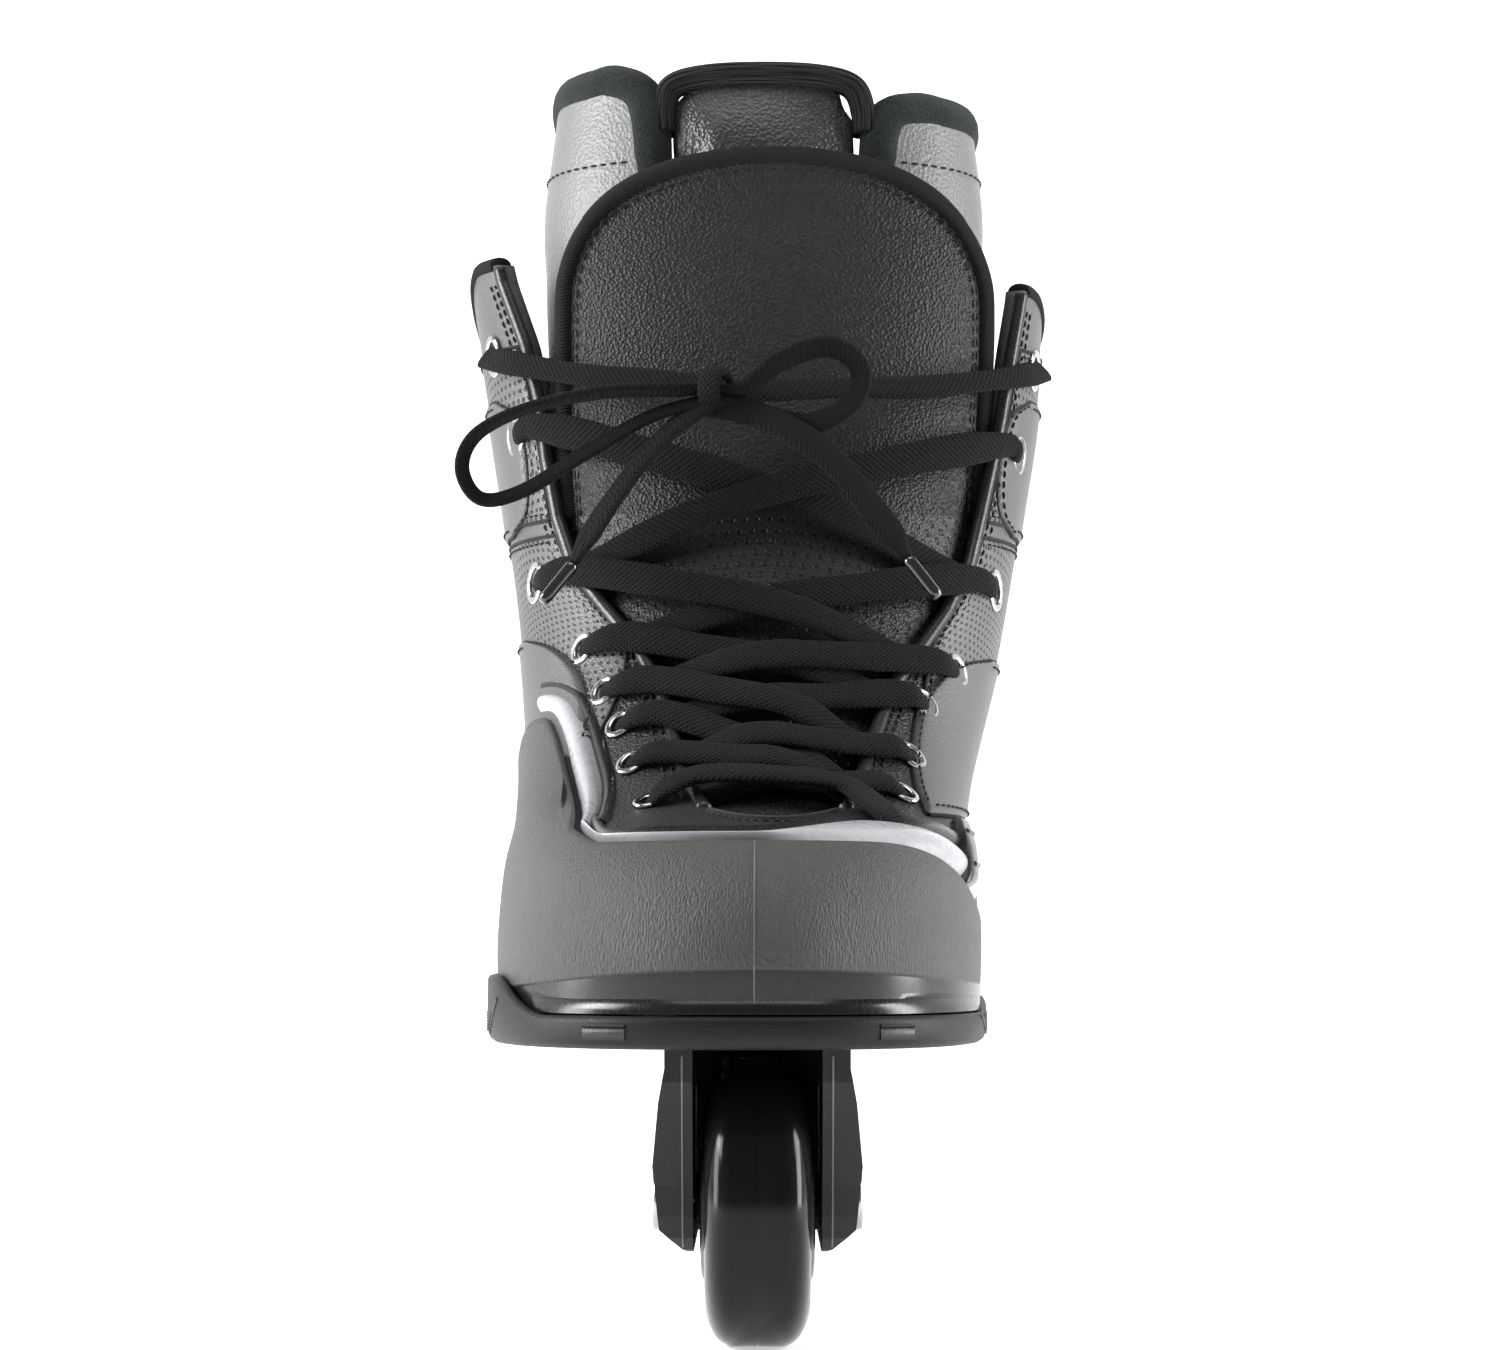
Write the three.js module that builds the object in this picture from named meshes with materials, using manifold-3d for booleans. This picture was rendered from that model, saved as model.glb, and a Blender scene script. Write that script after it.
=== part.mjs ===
// A street inline skate for the right foot: a laced leather boot in a moulded shell, a soul plate, and a
// nylon frame that holds four wheels in one row. Millimetres, +Z up, the toe points to -Y, and the lateral
// (outer) side of the foot is -X. The origin is on the ground, in the wheels' plane, midway along the boot.
import * as THREE from "three";
import { mergeVertices } from "three/addons/utils/BufferGeometryUtils.js";
import Module from "manifold-3d";

// ---------------------------------------------------------------- driving dimensions

const gap = 0.4; // clearance between pieces that touch in real life

const wheel = { diameter: 60, width: 22, treadFlat: 10, tyreLip: 1.5 };
const wheelGap = { pair: 6, middle: 36, above: 2.3 }; // free space between two wheels, and up to the sole
const bearing = { outer: 22, bore: 8, width: 7, innerRing: 12, proud: 0.9 };
const hub = { proud: 1, wall: 8, lip: 3, shoulder: 17, sideGap: 1.3 };

const frame = {
  topWall: 5.7, // wall thickness at the top and at the foot
  footWall: 1.3,
  bulge: 2.6, // how far the walls swell out at mid height
  wallDrop: 10.5, // how far the walls reach below the axles' centres
  endOverhang: 15, // wall beyond the first and last axle
  topRun: 9, // how much further the top edge runs than the wall's end
  bridgeLength: 24,
  bridgeThickness: 9,
  blockLength: 30, // grind block between wheels 2 and 3
  blockDrop: 5,
  grooveRadius: 9,
};
const frameWindow = { bottomHalf: 12, topHalf: 8, aboveAxle: 9, belowTop: 11 };
const axle = { head: 12, headThickness: 2.4, recess: 2.2 };
const frameBolt = { diameter: 6, head: 12, headThickness: 2.8, nut: 11, nutThickness: 4.4 };

const sole = {
  length: 304,
  lateral: 59.5,
  medial: 50.5,
  thickness: 6.7,
  channelDepth: 1.6,
  channelGap: 0.6,
  edgeRound: 2.4,
};
const wing = { lateral: 8, medial: 3.4, heel: 5 }; // height of the sole's rim above its top
const shell = { thickness: 2.6, floor: 3 };
const toeCap = {
  height: 33,
  lateralRise: 33,
  lateralFall: 7,
  medialDrop: 15,
  medialWall: 42,
  heelWall: 64,
};
const stripe = { thickness: 1.8, sideWidth: 7.5, frontWidth: 2.4 };
const leather = { vamp: 2.4, collar: 5 };
const tongueLayer = { gap: 1.5, thickness: 3.8, footThickness: 2 };
const linerWall = { toe: 4.5, collar: 9, floor: 3 };
const linerTongueLayer = { inset: 1.2, thickness: 7 };
const footbed = { thickness: 3, inset: 5 };
const shockPad = { length: 78, width: 46, fromHeel: 22 };
const lace = { diameter: 3.6, sides: 8, width: 8, thickness: 1.6, lift: 2.8, knotRadius: 5 };
const wheelSegments = { tyre: 16, core: 12, bearing: 10, axle: 10, nut: 8 };
const tongueHinge = { z: 236, gap: 0.7 };

// ---------------------------------------------------------------- derived sizes

const wheelRadius = wheel.diameter / 2;
const coreDiameter = bearing.outer + 2 * hub.wall;
const hubWidth = wheel.width + 2 * hub.proud;
const innerAxle = (wheel.diameter + wheelGap.middle) / 2;
const outerAxle = innerAxle + wheel.diameter + wheelGap.pair;
const axleYs = [-outerAxle, -innerAxle, innerAxle, outerAxle];
const bridgeY = (outerAxle + innerAxle) / 2; // the frame bolts stand midway between two axles
const wallInner = hubWidth / 2 + hub.sideGap;
const wallTopHalf = wallInner + frame.topWall;
const wallBottom = wheelRadius - frame.wallDrop;
const blockBottom = wheelRadius - frame.blockDrop;
const soleBottom = wheel.diameter + wheelGap.above;
const soleTop = soleBottom + sole.thickness;
const frameTop = soleBottom + sole.channelDepth - gap;

// The boot is drawn in a group of its own, at the heights and the length of one drawn size. The group
// stands on the soul plate, and its lengths are stretched to the sole's.
const drawn = { bootBottom: 72.8, length: 304 };
const bootBottom = drawn.bootBottom;
const shellFloorTop = bootBottom - gap;
const shellBottom = shellFloorTop - shell.floor;
const bootRise = soleTop + gap - shellBottom;
const stretch = sole.length / drawn.length;
const shellOut = shell.thickness + gap; // from the leather's face to the shell's outer face
const laceLift = lace.thickness / 2 + lace.lift; // middle of a lace that lies on the leather

// ---------------------------------------------------------------- boot form

// One row for each level of the leather's outer face: height, then front, back and widest-point Y, lateral
// and medial half width, and the squareness (superellipse exponent) of the outline's front and back halves.
const stretched = (rows) => rows.map(([z, front, back, widest, ...rest]) =>
  [z, front * stretch, back * stretch, widest * stretch, ...rest]);
const bootForm = stretched([
  [70, -146.5, 142, -60, 54, 46, 2.5, 3.0],
  [82, -147.5, 143, -60, 54.5, 46.5, 2.5, 3.0],
  [94, -144.5, 143, -57, 54, 46.5, 2.45, 2.9],
  [101, -139.5, 142.5, -52, 53.5, 46.5, 2.4, 2.8],
  [105, -131, 142, -48, 53, 46.5, 2.3, 2.8],
  [108, -115, 142, -42, 52.8, 46.5, 2.2, 2.7],
  [111, -93, 141.5, -36, 52.8, 47, 2.15, 2.7],
  [115, -77, 141, -28, 53, 47.8, 2.1, 2.6],
  [122, -64, 140.5, -15, 53.5, 49.5, 2.1, 2.6],
  [135, -48, 139.5, 5, 55, 53.5, 2.1, 2.5],
  [150, -35, 138, 22, 57, 58, 2.1, 2.5],
  [168, -24, 135, 35, 59.5, 62, 2.15, 2.4],
  [190, -15, 132, 42, 63, 66, 2.2, 2.4],
  [215, -8.5, 130, 44, 67, 70, 2.25, 2.3],
  [252, -4, 128, 44, 73, 73, 2.3, 2.3],
]);

// The same for the padded liner, which stands out of the boot's collar.
const linerForm = stretched([
  [bootBottom, -140, 136, -58, 49, 41, 2.5, 3.0],
  [84, -142.5, 137.5, -58, 50, 42, 2.5, 3.0],
  [93, -138.5, 138, -55, 49.5, 42, 2.45, 2.9],
  [99, -131, 137.5, -50, 49, 42, 2.35, 2.8],
  [102.6, -112, 137, -42, 48, 42, 2.2, 2.7],
  [104.6, -80, 136.5, -32, 47, 42, 2.1, 2.7],
  [114, -55, 135.5, -15, 46.5, 42.5, 2.1, 2.6],
  [135, -33.5, 134, 8, 47, 46, 2.1, 2.5],
  [158, -16.5, 130, 28, 48.5, 50, 2.1, 2.4],
  [187, -3.5, 125, 40, 50.5, 53, 2.15, 2.4],
  [215, 3, 122, 43, 52, 55, 2.2, 2.3],
  [250, 6.5, 119, 44, 53.5, 56.5, 2.2, 2.3],
  [285, 9, 118, 45, 52.5, 56, 2.2, 2.3],
  [308, 12, 118, 46, 50, 54, 2.2, 2.3],
]);

// Levels of the leather's rings, close together where the vamp turns over the toes.
const bootLevels = [bootBottom, 84, 94, 100.5, 104.5, 107.5, 110.5, 114.5, 121, 133, 148, 168, 192];

// A row of the table at height z, by cubic interpolation through the rows.
function rowAt(table, z) {
  const last = table.length - 1;
  let i = 0;
  while (i < last - 1 && z > table[i + 1][0]) i++;
  const [a, b] = [table[i], table[i + 1]];
  const span = b[0] - a[0];
  const t = THREE.MathUtils.clamp((z - a[0]) / span, -0.2, 1.2);
  const slope = (j, k) => {
    const [p, q] = [table[Math.max(j - 1, 0)], table[Math.min(j + 1, last)]];
    return (q[k] - p[k]) / (q[0] - p[0]);
  };
  const [t2, t3] = [t * t, t * t * t];
  return a.map((value, k) => {
    if (k === 0) return z;
    const ease = (2 * t3 - 3 * t2 + 1) * value + (3 * t2 - 2 * t3) * b[k];
    return ease + span * ((t3 - 2 * t2 + t) * slope(i, k) + (t3 - t2) * slope(i + 1, k));
  });
}

// A point of a form: angle 0 is the front, and a quarter turn is the medial side.
function formPoint(table, z, angle) {
  const [, front, back, widest, lateral, medial, frontPower, backPower] = rowAt(table, z);
  const [ahead, side] = [Math.cos(angle), Math.sin(angle)];
  const power = 2 / (ahead > 0 ? frontPower : backPower);
  const reach = ahead > 0 ? widest - front : back - widest;
  const x = Math.sign(side) * (side > 0 ? medial : lateral) * Math.abs(side) ** power;
  return new THREE.Vector3(x, widest - Math.sign(ahead) * reach * Math.abs(ahead) ** power, z);
}

// The same point moved in by a depth along the face's normal; a negative depth moves it out.
function insetPoint(table, z, angle, depth) {
  const [dz, da] = [0.6, 0.03];
  const up = formPoint(table, z + dz, angle).sub(formPoint(table, z - dz, angle));
  const round = formPoint(table, z, angle + da).sub(formPoint(table, z, angle - da));
  const normal = round.cross(up).normalize();
  return formPoint(table, z, angle).addScaledVector(normal, -depth);
}

const angles = (count) => Array.from({ length: count }, (_, i) => (2 * Math.PI * i) / count);
const smooth = (from, to, value) => THREE.MathUtils.smoothstep(value, from, to);
const mix = THREE.MathUtils.lerp;

// ---------------------------------------------------------------- solids

const wasm = await Module();
wasm.setup();

function toSolid(geometry) {
  const bare = geometry.index ? geometry.toNonIndexed() : geometry.clone();
  const only = new THREE.BufferGeometry().setAttribute("position", bare.getAttribute("position"));
  const merged = mergeVertices(only, 1e-3);
  const vertProperties = new Float32Array(merged.attributes.position.array);
  const triVerts = new Uint32Array(merged.index.array);
  return new wasm.Manifold(new wasm.Mesh({ numProp: 3, vertProperties, triVerts }));
}

function fromSolid(solid) {
  const { numProp, vertProperties, triVerts, numVert } = solid.getMesh();
  const positions = new Float32Array(numVert * 3);
  for (let i = 0; i < numVert; i++) {
    positions.set(vertProperties.subarray(i * numProp, i * numProp + 3), i * 3);
  }
  return new THREE.BufferGeometry()
    .setAttribute("position", new THREE.BufferAttribute(positions, 3))
    .setIndex(new THREE.BufferAttribute(triVerts, 1));
}

const cut = (body, ...tools) => tools.reduce((left, tool) => left.subtract(tool), body);
const join = (...bodies) => bodies.reduce((sum, body) => sum.add(body));

// A closed skin over rings of equal length. An end is closed by a fan, or on a thin band by a strip.
function skin(rings, isBand = false) {
  const count = rings[0].length;
  const points = rings.flat();
  const faces = [];
  rings.slice(1).forEach((_, r) => {
    for (let i = 0; i < count; i++) {
      const [a, b] = [r * count + i, r * count + ((i + 1) % count)];
      faces.push(a, b, b + count, a, b + count, a + count);
    }
  });
  const strip = (ring, start, flip) => {
    for (let i = 0; i < count / 2 - 1; i++) {
      const [a, b, c, d] = [i, i + 1, count - 2 - i, count - 1 - i].map((k) => start + k);
      faces.push(...(flip ? [a, c, b, a, d, c] : [a, b, c, a, c, d]));
    }
  };
  const fan = (ring, start, flip) => {
    const middle = ring.reduce((sum, p) => sum.add(p), new THREE.Vector3()).divideScalar(count);
    const centre = points.push(middle) - 1;
    for (let i = 0; i < count; i++) {
      const [a, b] = [start + i, start + ((i + 1) % count)];
      faces.push(centre, ...(flip ? [b, a] : [a, b]));
    }
  };
  const close = isBand ? strip : fan;
  close(rings[0], 0, true);
  close(rings.at(-1), (rings.length - 1) * count, false);
  const geometry = new THREE.BufferGeometry().setFromPoints(points).setIndex(faces);
  const solid = toSolid(geometry);
  if (solid.volume() >= 0) return solid;
  const turned = faces.map((_, i) => faces[i - (i % 3) + ((3 - (i % 3)) % 3)]);
  return toSolid(new THREE.BufferGeometry().setFromPoints(points).setIndex(turned));
}

// A closed band: rows of points on an outer and an inner face, joined all round the edge.
function sheetSolid(outer, inner) {
  return skin(outer.map((row, i) => [...row, ...[...inner[i]].reverse()]), true);
}

const extruded = (shape, depth) =>
  new THREE.ExtrudeGeometry(shape, { depth, bevelEnabled: false, curveSegments: 4 });

// A solid of a shape drawn in (Y, Z), as wide as from x0 to x1.
function alongX(shape, x0, x1) {
  const geometry = extruded(shape, x1 - x0);
  geometry.applyMatrix4(new THREE.Matrix4().set(0, 0, 1, x0, 1, 0, 0, 0, 0, 1, 0, 0, 0, 0, 0, 1));
  return toSolid(geometry);
}

// A solid of a shape drawn in (X, Z), as long as from y0 to y1.
function alongY(shape, y0, y1) {
  const geometry = extruded(shape, y1 - y0);
  geometry.applyMatrix4(new THREE.Matrix4().set(1, 0, 0, 0, 0, 0, -1, y1, 0, 1, 0, 0, 0, 0, 0, 1));
  return toSolid(geometry);
}

function box(x0, x1, y0, y1, z0, z1) {
  const geometry = new THREE.BoxGeometry(x1 - x0, y1 - y0, z1 - z0);
  return toSolid(geometry.translate((x0 + x1) / 2, (y0 + y1) / 2, (z0 + z1) / 2));
}

// A turned solid of (radius, along) points on or about the X axis.
function turnedX(profile, segments) {
  const lathe = new THREE.LatheGeometry(profile.map(([r, along]) => new THREE.Vector2(r, along)), segments);
  return lathe.rotateZ(-Math.PI / 2);
}

// The corner radius of a faceted hole whose flats touch a circle.
const bored = (radius, segments) => radius / Math.cos(Math.PI / segments);

const ringProfile = (inner, outer, from, to) => [
  [inner, from],
  [outer, from],
  [outer, to],
  [inner, to],
  [inner, from],
];

function cylinderX(radius, x0, x1, y, z, segments = 12) {
  const geometry = new THREE.CylinderGeometry(radius, radius, x1 - x0, segments).rotateZ(Math.PI / 2);
  return toSolid(geometry.translate((x0 + x1) / 2, y, z));
}

function cylinderZ(radius, z0, z1, y, segments = 16) {
  const geometry = new THREE.CylinderGeometry(radius, radius, z1 - z0, segments).rotateX(Math.PI / 2);
  return toSolid(geometry.translate(0, y, (z0 + z1) / 2));
}

// ---------------------------------------------------------------- the skate

const skate = new THREE.Group();
const boot = new THREE.Group();
boot.position.z = bootRise;
skate.add(boot);
const finishes = {
  shell: { color: 0x565654, roughness: 0.55, metalness: 0 },
  stripe: { color: 0xb9bbbf, roughness: 0.35, metalness: 0 },
  leather: { color: 0x6d6f6d, roughness: 0.5, metalness: 0 },
  tongue: { color: 0x333335, roughness: 0.5, metalness: 0 },
  liner: { color: 0x2b302b, roughness: 0.95, metalness: 0 },
  lace: { color: 0x151817, roughness: 0.95, metalness: 0 },
  frame: { color: 0x343230, roughness: 0.6, metalness: 0 },
  tyre: { color: 0x0c0b0b, roughness: 0.15, metalness: 0 },
  hub: { color: 0x1a1a1a, roughness: 0.4, metalness: 0 },
  steel: { color: 0xb4b4b8, roughness: 0.3, metalness: 1 },
  brass: { color: 0xb98f70, roughness: 0.35, metalness: 1 },
  foam: { color: 0x3a3a3c, roughness: 0.95, metalness: 0 },
};
const materials = Object.fromEntries(
  Object.entries(finishes).map(([name, look]) => [name, new THREE.MeshStandardMaterial(look)]),
);

function add(name, finish, shape, parent = skate) {
  const geometry = shape.isBufferGeometry ? shape : fromSolid(shape);
  const mesh = new THREE.Mesh(geometry, materials[finish]);
  mesh.name = name;
  parent.add(mesh);
  return mesh;
}

// ---------------------------------------------------------------- frame

// Half of the frame's section across the skate: a wall that swells at mid height and tapers at its foot.
function wallSection() {
  const height = frameTop - wallBottom;
  const shape = new THREE.Shape();
  shape.moveTo(wallInner, frameTop);
  shape.lineTo(wallInner, wallBottom);
  shape.lineTo(wallInner + frame.footWall, wallBottom);
  shape.lineTo(wallTopHalf + frame.bulge / 2, wallBottom + height * 0.12);
  shape.lineTo(wallTopHalf + frame.bulge, wallBottom + height * 0.42);
  shape.lineTo(wallTopHalf + frame.bulge / 2, wallBottom + height * 0.72);
  shape.lineTo(wallTopHalf, wallBottom + height * 0.88);
  shape.lineTo(wallTopHalf, frameTop);
  return shape;
}

// The walls' outline from the side, with an arch that clears the grind block's groove.
function sideOutline() {
  const [end, arch] = [outerAxle + frame.endOverhang, innerAxle - wheelRadius + 4];
  const [top, foot] = [end + frame.topRun, wallBottom - 0.01];
  const shape = new THREE.Shape();
  shape.moveTo(-top, frameTop + 1);
  shape.lineTo(-top, frameTop - 8);
  shape.lineTo(-end, wheelRadius + 4);
  shape.quadraticCurveTo(-end, wallBottom, -outerAxle, foot);
  shape.lineTo(-arch, foot);
  shape.quadraticCurveTo(0, blockBottom + 7, arch, foot);
  shape.lineTo(outerAxle, foot);
  shape.quadraticCurveTo(end, wallBottom, end, wheelRadius + 4);
  shape.lineTo(top, frameTop - 8);
  shape.lineTo(top, frameTop + 1);
  return shape;
}

const frameReach = wallTopHalf + frame.bulge + 10; // tools that cut across the frame reach past its walls

// A lightening window between two axles.
function window(y) {
  const [low, high] = [wheelRadius + frameWindow.aboveAxle, frameTop - frameWindow.belowTop];
  const shape = new THREE.Shape();
  shape.moveTo(y - frameWindow.bottomHalf, low);
  shape.lineTo(y + frameWindow.bottomHalf, low);
  shape.lineTo(y + frameWindow.topHalf, high);
  shape.lineTo(y - frameWindow.topHalf, high);
  return alongX(shape, -frameReach, frameReach);
}

const axleRadius = bearing.bore / 2 - gap / 2;
const wallOuter = wallTopHalf + frame.bulge - axle.recess; // where an axle's head and nut seat

const boltHole = (z0, z1, y) => cylinderZ(bored(frameBolt.diameter / 2 + gap / 2, 12), z0, z1, y, 12);

function makeFrame() {
  const section = wallSection();
  const mirrored = new THREE.Shape(section.getPoints().map((p) => new THREE.Vector2(-p.x, p.y)).reverse());
  const length = outerAxle + frame.endOverhang + frame.topRun + 1;
  const outline = alongX(sideOutline(), -frameReach, frameReach);
  const walls = join(alongY(section, -length, length), alongY(mirrored, -length, length)).intersect(outline);
  const across = wallInner + 1;
  const bridge = (y) => {
    const half = frame.bridgeLength / 2;
    return box(-across, across, y - half, y + half, frameTop - frame.bridgeThickness, frameTop);
  };
  const half = frame.blockLength / 2;
  const block = box(-across, across, -half, half, blockBottom + 4, frameTop);
  const groove = cylinderX(frame.grooveRadius, -frameReach, frameReach, 0, blockBottom - 2, 20);
  const seat = bored(axle.head / 2 + gap / 2, 12);
  const holes = axleYs.flatMap((y) => [
    cylinderX(bored(axleRadius + gap / 2, 12), -frameReach, frameReach, y, wheelRadius),
    cylinderX(seat, -frameReach, -wallOuter, y, wheelRadius),
    cylinderX(seat, wallOuter, frameReach, y, wheelRadius),
  ]);
  const bolts = [-bridgeY, bridgeY].map((y) => boltHole(wallBottom, frameTop + 1, y));
  const windows = [window(-bridgeY), window(bridgeY)];
  return cut(join(walls, bridge(-bridgeY), bridge(bridgeY), block), groove, ...holes, ...bolts, ...windows);
}
add("frame", "frame", makeFrame());

[["front", -bridgeY], ["rear", bridgeY]].forEach(([place, y]) => {
  const seat = soleTop + gap / 2;
  const nutTop = frameTop - frame.bridgeThickness - gap / 2;
  const shank = cylinderZ(frameBolt.diameter / 2, nutTop - frameBolt.nutThickness - 1, seat + 0.5, y, 12);
  const head = cylinderZ(frameBolt.head / 2, seat, seat + frameBolt.headThickness, y, 16);
  add(`frame_bolt_${place}`, "steel", join(shank, head));
  const nut = cylinderZ(frameBolt.nut / 2, nutTop - frameBolt.nutThickness, nutTop, y, 6);
  add(`frame_nut_${place}`, "steel", cut(nut, boltHole(0, frameTop, y)));
});

// ---------------------------------------------------------------- wheels

// The tyre's section: a flat tread, and shoulders on a quarter ellipse down to the core.
function tyreProfile() {
  const [half, flat] = [wheel.width / 2, wheel.treadFlat / 2];
  const core = bored(coreDiameter / 2, wheelSegments.tyre);
  const drop = wheelRadius - coreDiameter / 2 - wheel.tyreLip;
  const shoulder = [0.35, 0.7, 1].map((share) => {
    const angle = (share * Math.PI) / 2;
    return [wheelRadius - drop * (1 - Math.cos(angle)), flat + (half - flat) * Math.sin(angle)];
  });
  const left = shoulder.map(([r, x]) => [r, -x]).reverse();
  const tread = [[wheelRadius, -flat], [wheelRadius, flat]];
  const bore = [[core, half - 0.6], [core, -half + 0.6]];
  return [bore[1], ...left, ...tread, ...shoulder, ...bore];
}

// The core: a thick ring with a seat for a bearing at each end and a shoulder between them.
function hubProfile() {
  const [half, outer] = [hubWidth / 2, coreDiameter / 2 - gap / 2];
  const seat = bored(bearing.outer / 2 + gap / 2, wheelSegments.core);
  const face = half - bearing.width - gap / 2;
  return [
    [seat, -half + gap],
    [seat + hub.lip, -half + gap],
    [outer, -wheel.width / 2 + 1.2],
    [outer, wheel.width / 2 - 1.2],
    [seat + hub.lip, half - gap],
    [seat, half - gap],
    [seat, face],
    [hub.shoulder / 2, face],
    [hub.shoulder / 2, -face],
    [seat, -face],
    [seat, -half + gap],
  ];
}

const wheelRing = (inner, outer, from, to, segments) =>
  turnedX(ringProfile(bored(inner, segments), outer, from, to), segments);

// A bearing at one end of a core; its inner ring stands proud, towards the frame's wall.
function addBearing(group, name, sign) {
  const [near, far] = [hubWidth / 2 - bearing.width, hubWidth / 2];
  const span = (to) => (sign > 0 ? [near, to] : [-to, -near]);
  const [split, count] = [bearing.innerRing / 2, wheelSegments.bearing];
  const outer = wheelRing(split + gap / 2, bearing.outer / 2, ...span(far), count);
  const inner = wheelRing(bearing.bore / 2, split, ...span(far + bearing.proud), count);
  add(`${name}_outer`, "steel", outer, group);
  add(`${name}_inner`, "brass", inner, group);
}

// An axle bolt with a flat head on the left, and its nut on the right.
function addAxle(group, n) {
  const [seat, end] = [wallOuter + gap / 2, wallOuter + gap / 2 + axle.headThickness];
  const bolt = [
    [0, -end],
    [axle.head / 2, -end],
    [axle.head / 2, -seat],
    [axleRadius, -seat],
    [axleRadius, end - gap / 2],
    [0, end - gap / 2],
  ];
  add(`axle_${n}`, "steel", turnedX(bolt, wheelSegments.axle), group);
  const nut = wheelRing(axleRadius + gap / 2, axle.head / 2, seat, end, wheelSegments.nut);
  add(`axle_nut_${n}`, "steel", nut, group);
}

function addWheel(n, y) {
  const group = new THREE.Group();
  group.position.set(0, y, wheelRadius);
  skate.add(group);
  const tyre = turnedX(tyreProfile(), wheelSegments.tyre).rotateX(Math.PI / wheelSegments.tyre);
  add(`wheel_${n}_tyre`, "tyre", tyre, group);
  add(`wheel_${n}_core`, "hub", turnedX(hubProfile(), wheelSegments.core), group);
  addBearing(group, `bearing_${n}_left`, -1);
  addBearing(group, `bearing_${n}_right`, 1);
  const reach = hubWidth / 2 - bearing.width - gap / 2;
  const spacer = wheelRing(bearing.bore / 2, bearing.innerRing / 2, -reach, reach, wheelSegments.nut);
  add(`spacer_${n}`, "steel", spacer, group);
  addAxle(group, n);
}
axleYs.forEach((y, i) => addWheel(i + 1, y));

// ---------------------------------------------------------------- soul plate and shell

const ringCount = 26;

// Height of the plate's rim: low round the toe, and a raised wing along each side.
function rimHeight(point) {
  const y = point.y / stretch;
  const start = point.x < 0 ? smooth(-133, -100, y) : smooth(-100, -62, y);
  const along = start * (1 - smooth(40, 96, y));
  return soleTop + along * (point.x < 0 ? wing.lateral : wing.medial) + smooth(110, 140, y) * wing.heel;
}

function makeSoulPlate() {
  const half = sole.length / 2;
  const outline = [0, 200].map((z) => [z, -half, half, -60 * stretch, sole.lateral, sole.medial, 2.6, 3.1]);
  const ring = (z, inset) => angles(ringCount).map((a) => insetPoint(outline, 100, a, inset).setZ(z));
  const rim = angles(ringCount).map((a) => {
    const point = formPoint(outline, 100, a);
    return point.setZ(rimHeight(point));
  });
  const plate = skin([ring(soleBottom, sole.edgeRound), ring(soleBottom + sole.edgeRound, 0), rim]);
  const room = [0, 12, 24].map((up) =>
    angles(ringCount).map((a) =>
      insetPoint(bootForm, shellBottom + up, a, -shellOut - gap).setZ(soleTop + up),
    ),
  );
  const side = wallTopHalf + frame.bulge + sole.channelGap;
  const channel = box(-side, side, -half - 1, half + 1, soleBottom - 1, soleBottom + sole.channelDepth);
  const holes = [-bridgeY, bridgeY].map((y) => boltHole(soleBottom - 1, soleTop + 1, y));
  return cut(plate, skin(room), channel, ...holes);
}
add("soul_plate", "frame", makeSoulPlate());

// The shell's top edge: level over the toe, steep up to a peak at the lateral side, and low on the medial
// side until a second wall rises behind the ball of the foot. The heel is high.
function shellEdge(angle) {
  const point = formPoint(bootForm, 90, angle);
  const y = point.y / stretch;
  const base = shellBottom + toeCap.height;
  const heel = toeCap.heelWall * smooth(60, 130, y);
  if (point.x < 0) {
    const turn = Math.min(angle < 0 ? -angle : 2 * Math.PI - angle, Math.PI);
    const rise = toeCap.lateralRise * smooth(0.76, 1.05, turn);
    const fall = toeCap.lateralFall * smooth(1.1, 1.6, turn);
    return Math.max(base + rise - fall, shellBottom + heel);
  }
  const drop = toeCap.medialDrop * smooth(-140, -66, y);
  const wall = toeCap.medialWall * smooth(-52, -26, y);
  return Math.max(base - drop, shellBottom + wall, shellBottom + heel);
}

// The room that the leather boot fills, grown by a clearance all round, from a height upward.
function bootRoom(clearance, from) {
  const levels = [from, ...bootLevels.slice(1), 200];
  return skin(levels.map((z, i) => {
    const ring = angles(ringCount).map((a) => insetPoint(bootForm, Math.max(z, bootBottom), a, -clearance));
    return i ? ring : ring.map((p) => p.setZ(from));
  }));
}

const padBack = sole.length / 2 - shockPad.fromHeel;
const padFront = padBack - shockPad.length;
const boltHeadHole = (y, segments = 12) =>
  cylinderZ(frameBolt.head / 2 + gap, shellBottom - 20, shellFloorTop + 20, y, segments);

function makeShell() {
  const rows = 6;
  const outside = Array.from({ length: rows + 1 }, (_, r) =>
    angles(ringCount).map((a) => {
      const z = mix(shellBottom, shellEdge(a), r / rows);
      const point = insetPoint(bootForm, Math.max(z, bootBottom), a, -shellOut);
      return r ? point : point.setZ(shellBottom);
    }),
  );
  const half = shockPad.width / 2 + gap;
  const pocket = box(-half, half, padFront - gap, padBack + gap, shellBottom - 1, bootBottom);
  const holes = [-bridgeY, bridgeY].map((y) => boltHeadHole(y));
  const rim = angles(ringCount).map((a) => insetPoint(bootForm, shellEdge(a), a, leather.vamp));
  const well = rim.map((point) => point.clone().setZ(shellFloorTop + gap));
  const blank = skin([...outside, rim, well]);
  return cut(blank, bootRoom(gap, shellFloorTop), pocket, ...holes);
}
add("shell", "shell", makeShell(), boot);

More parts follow.
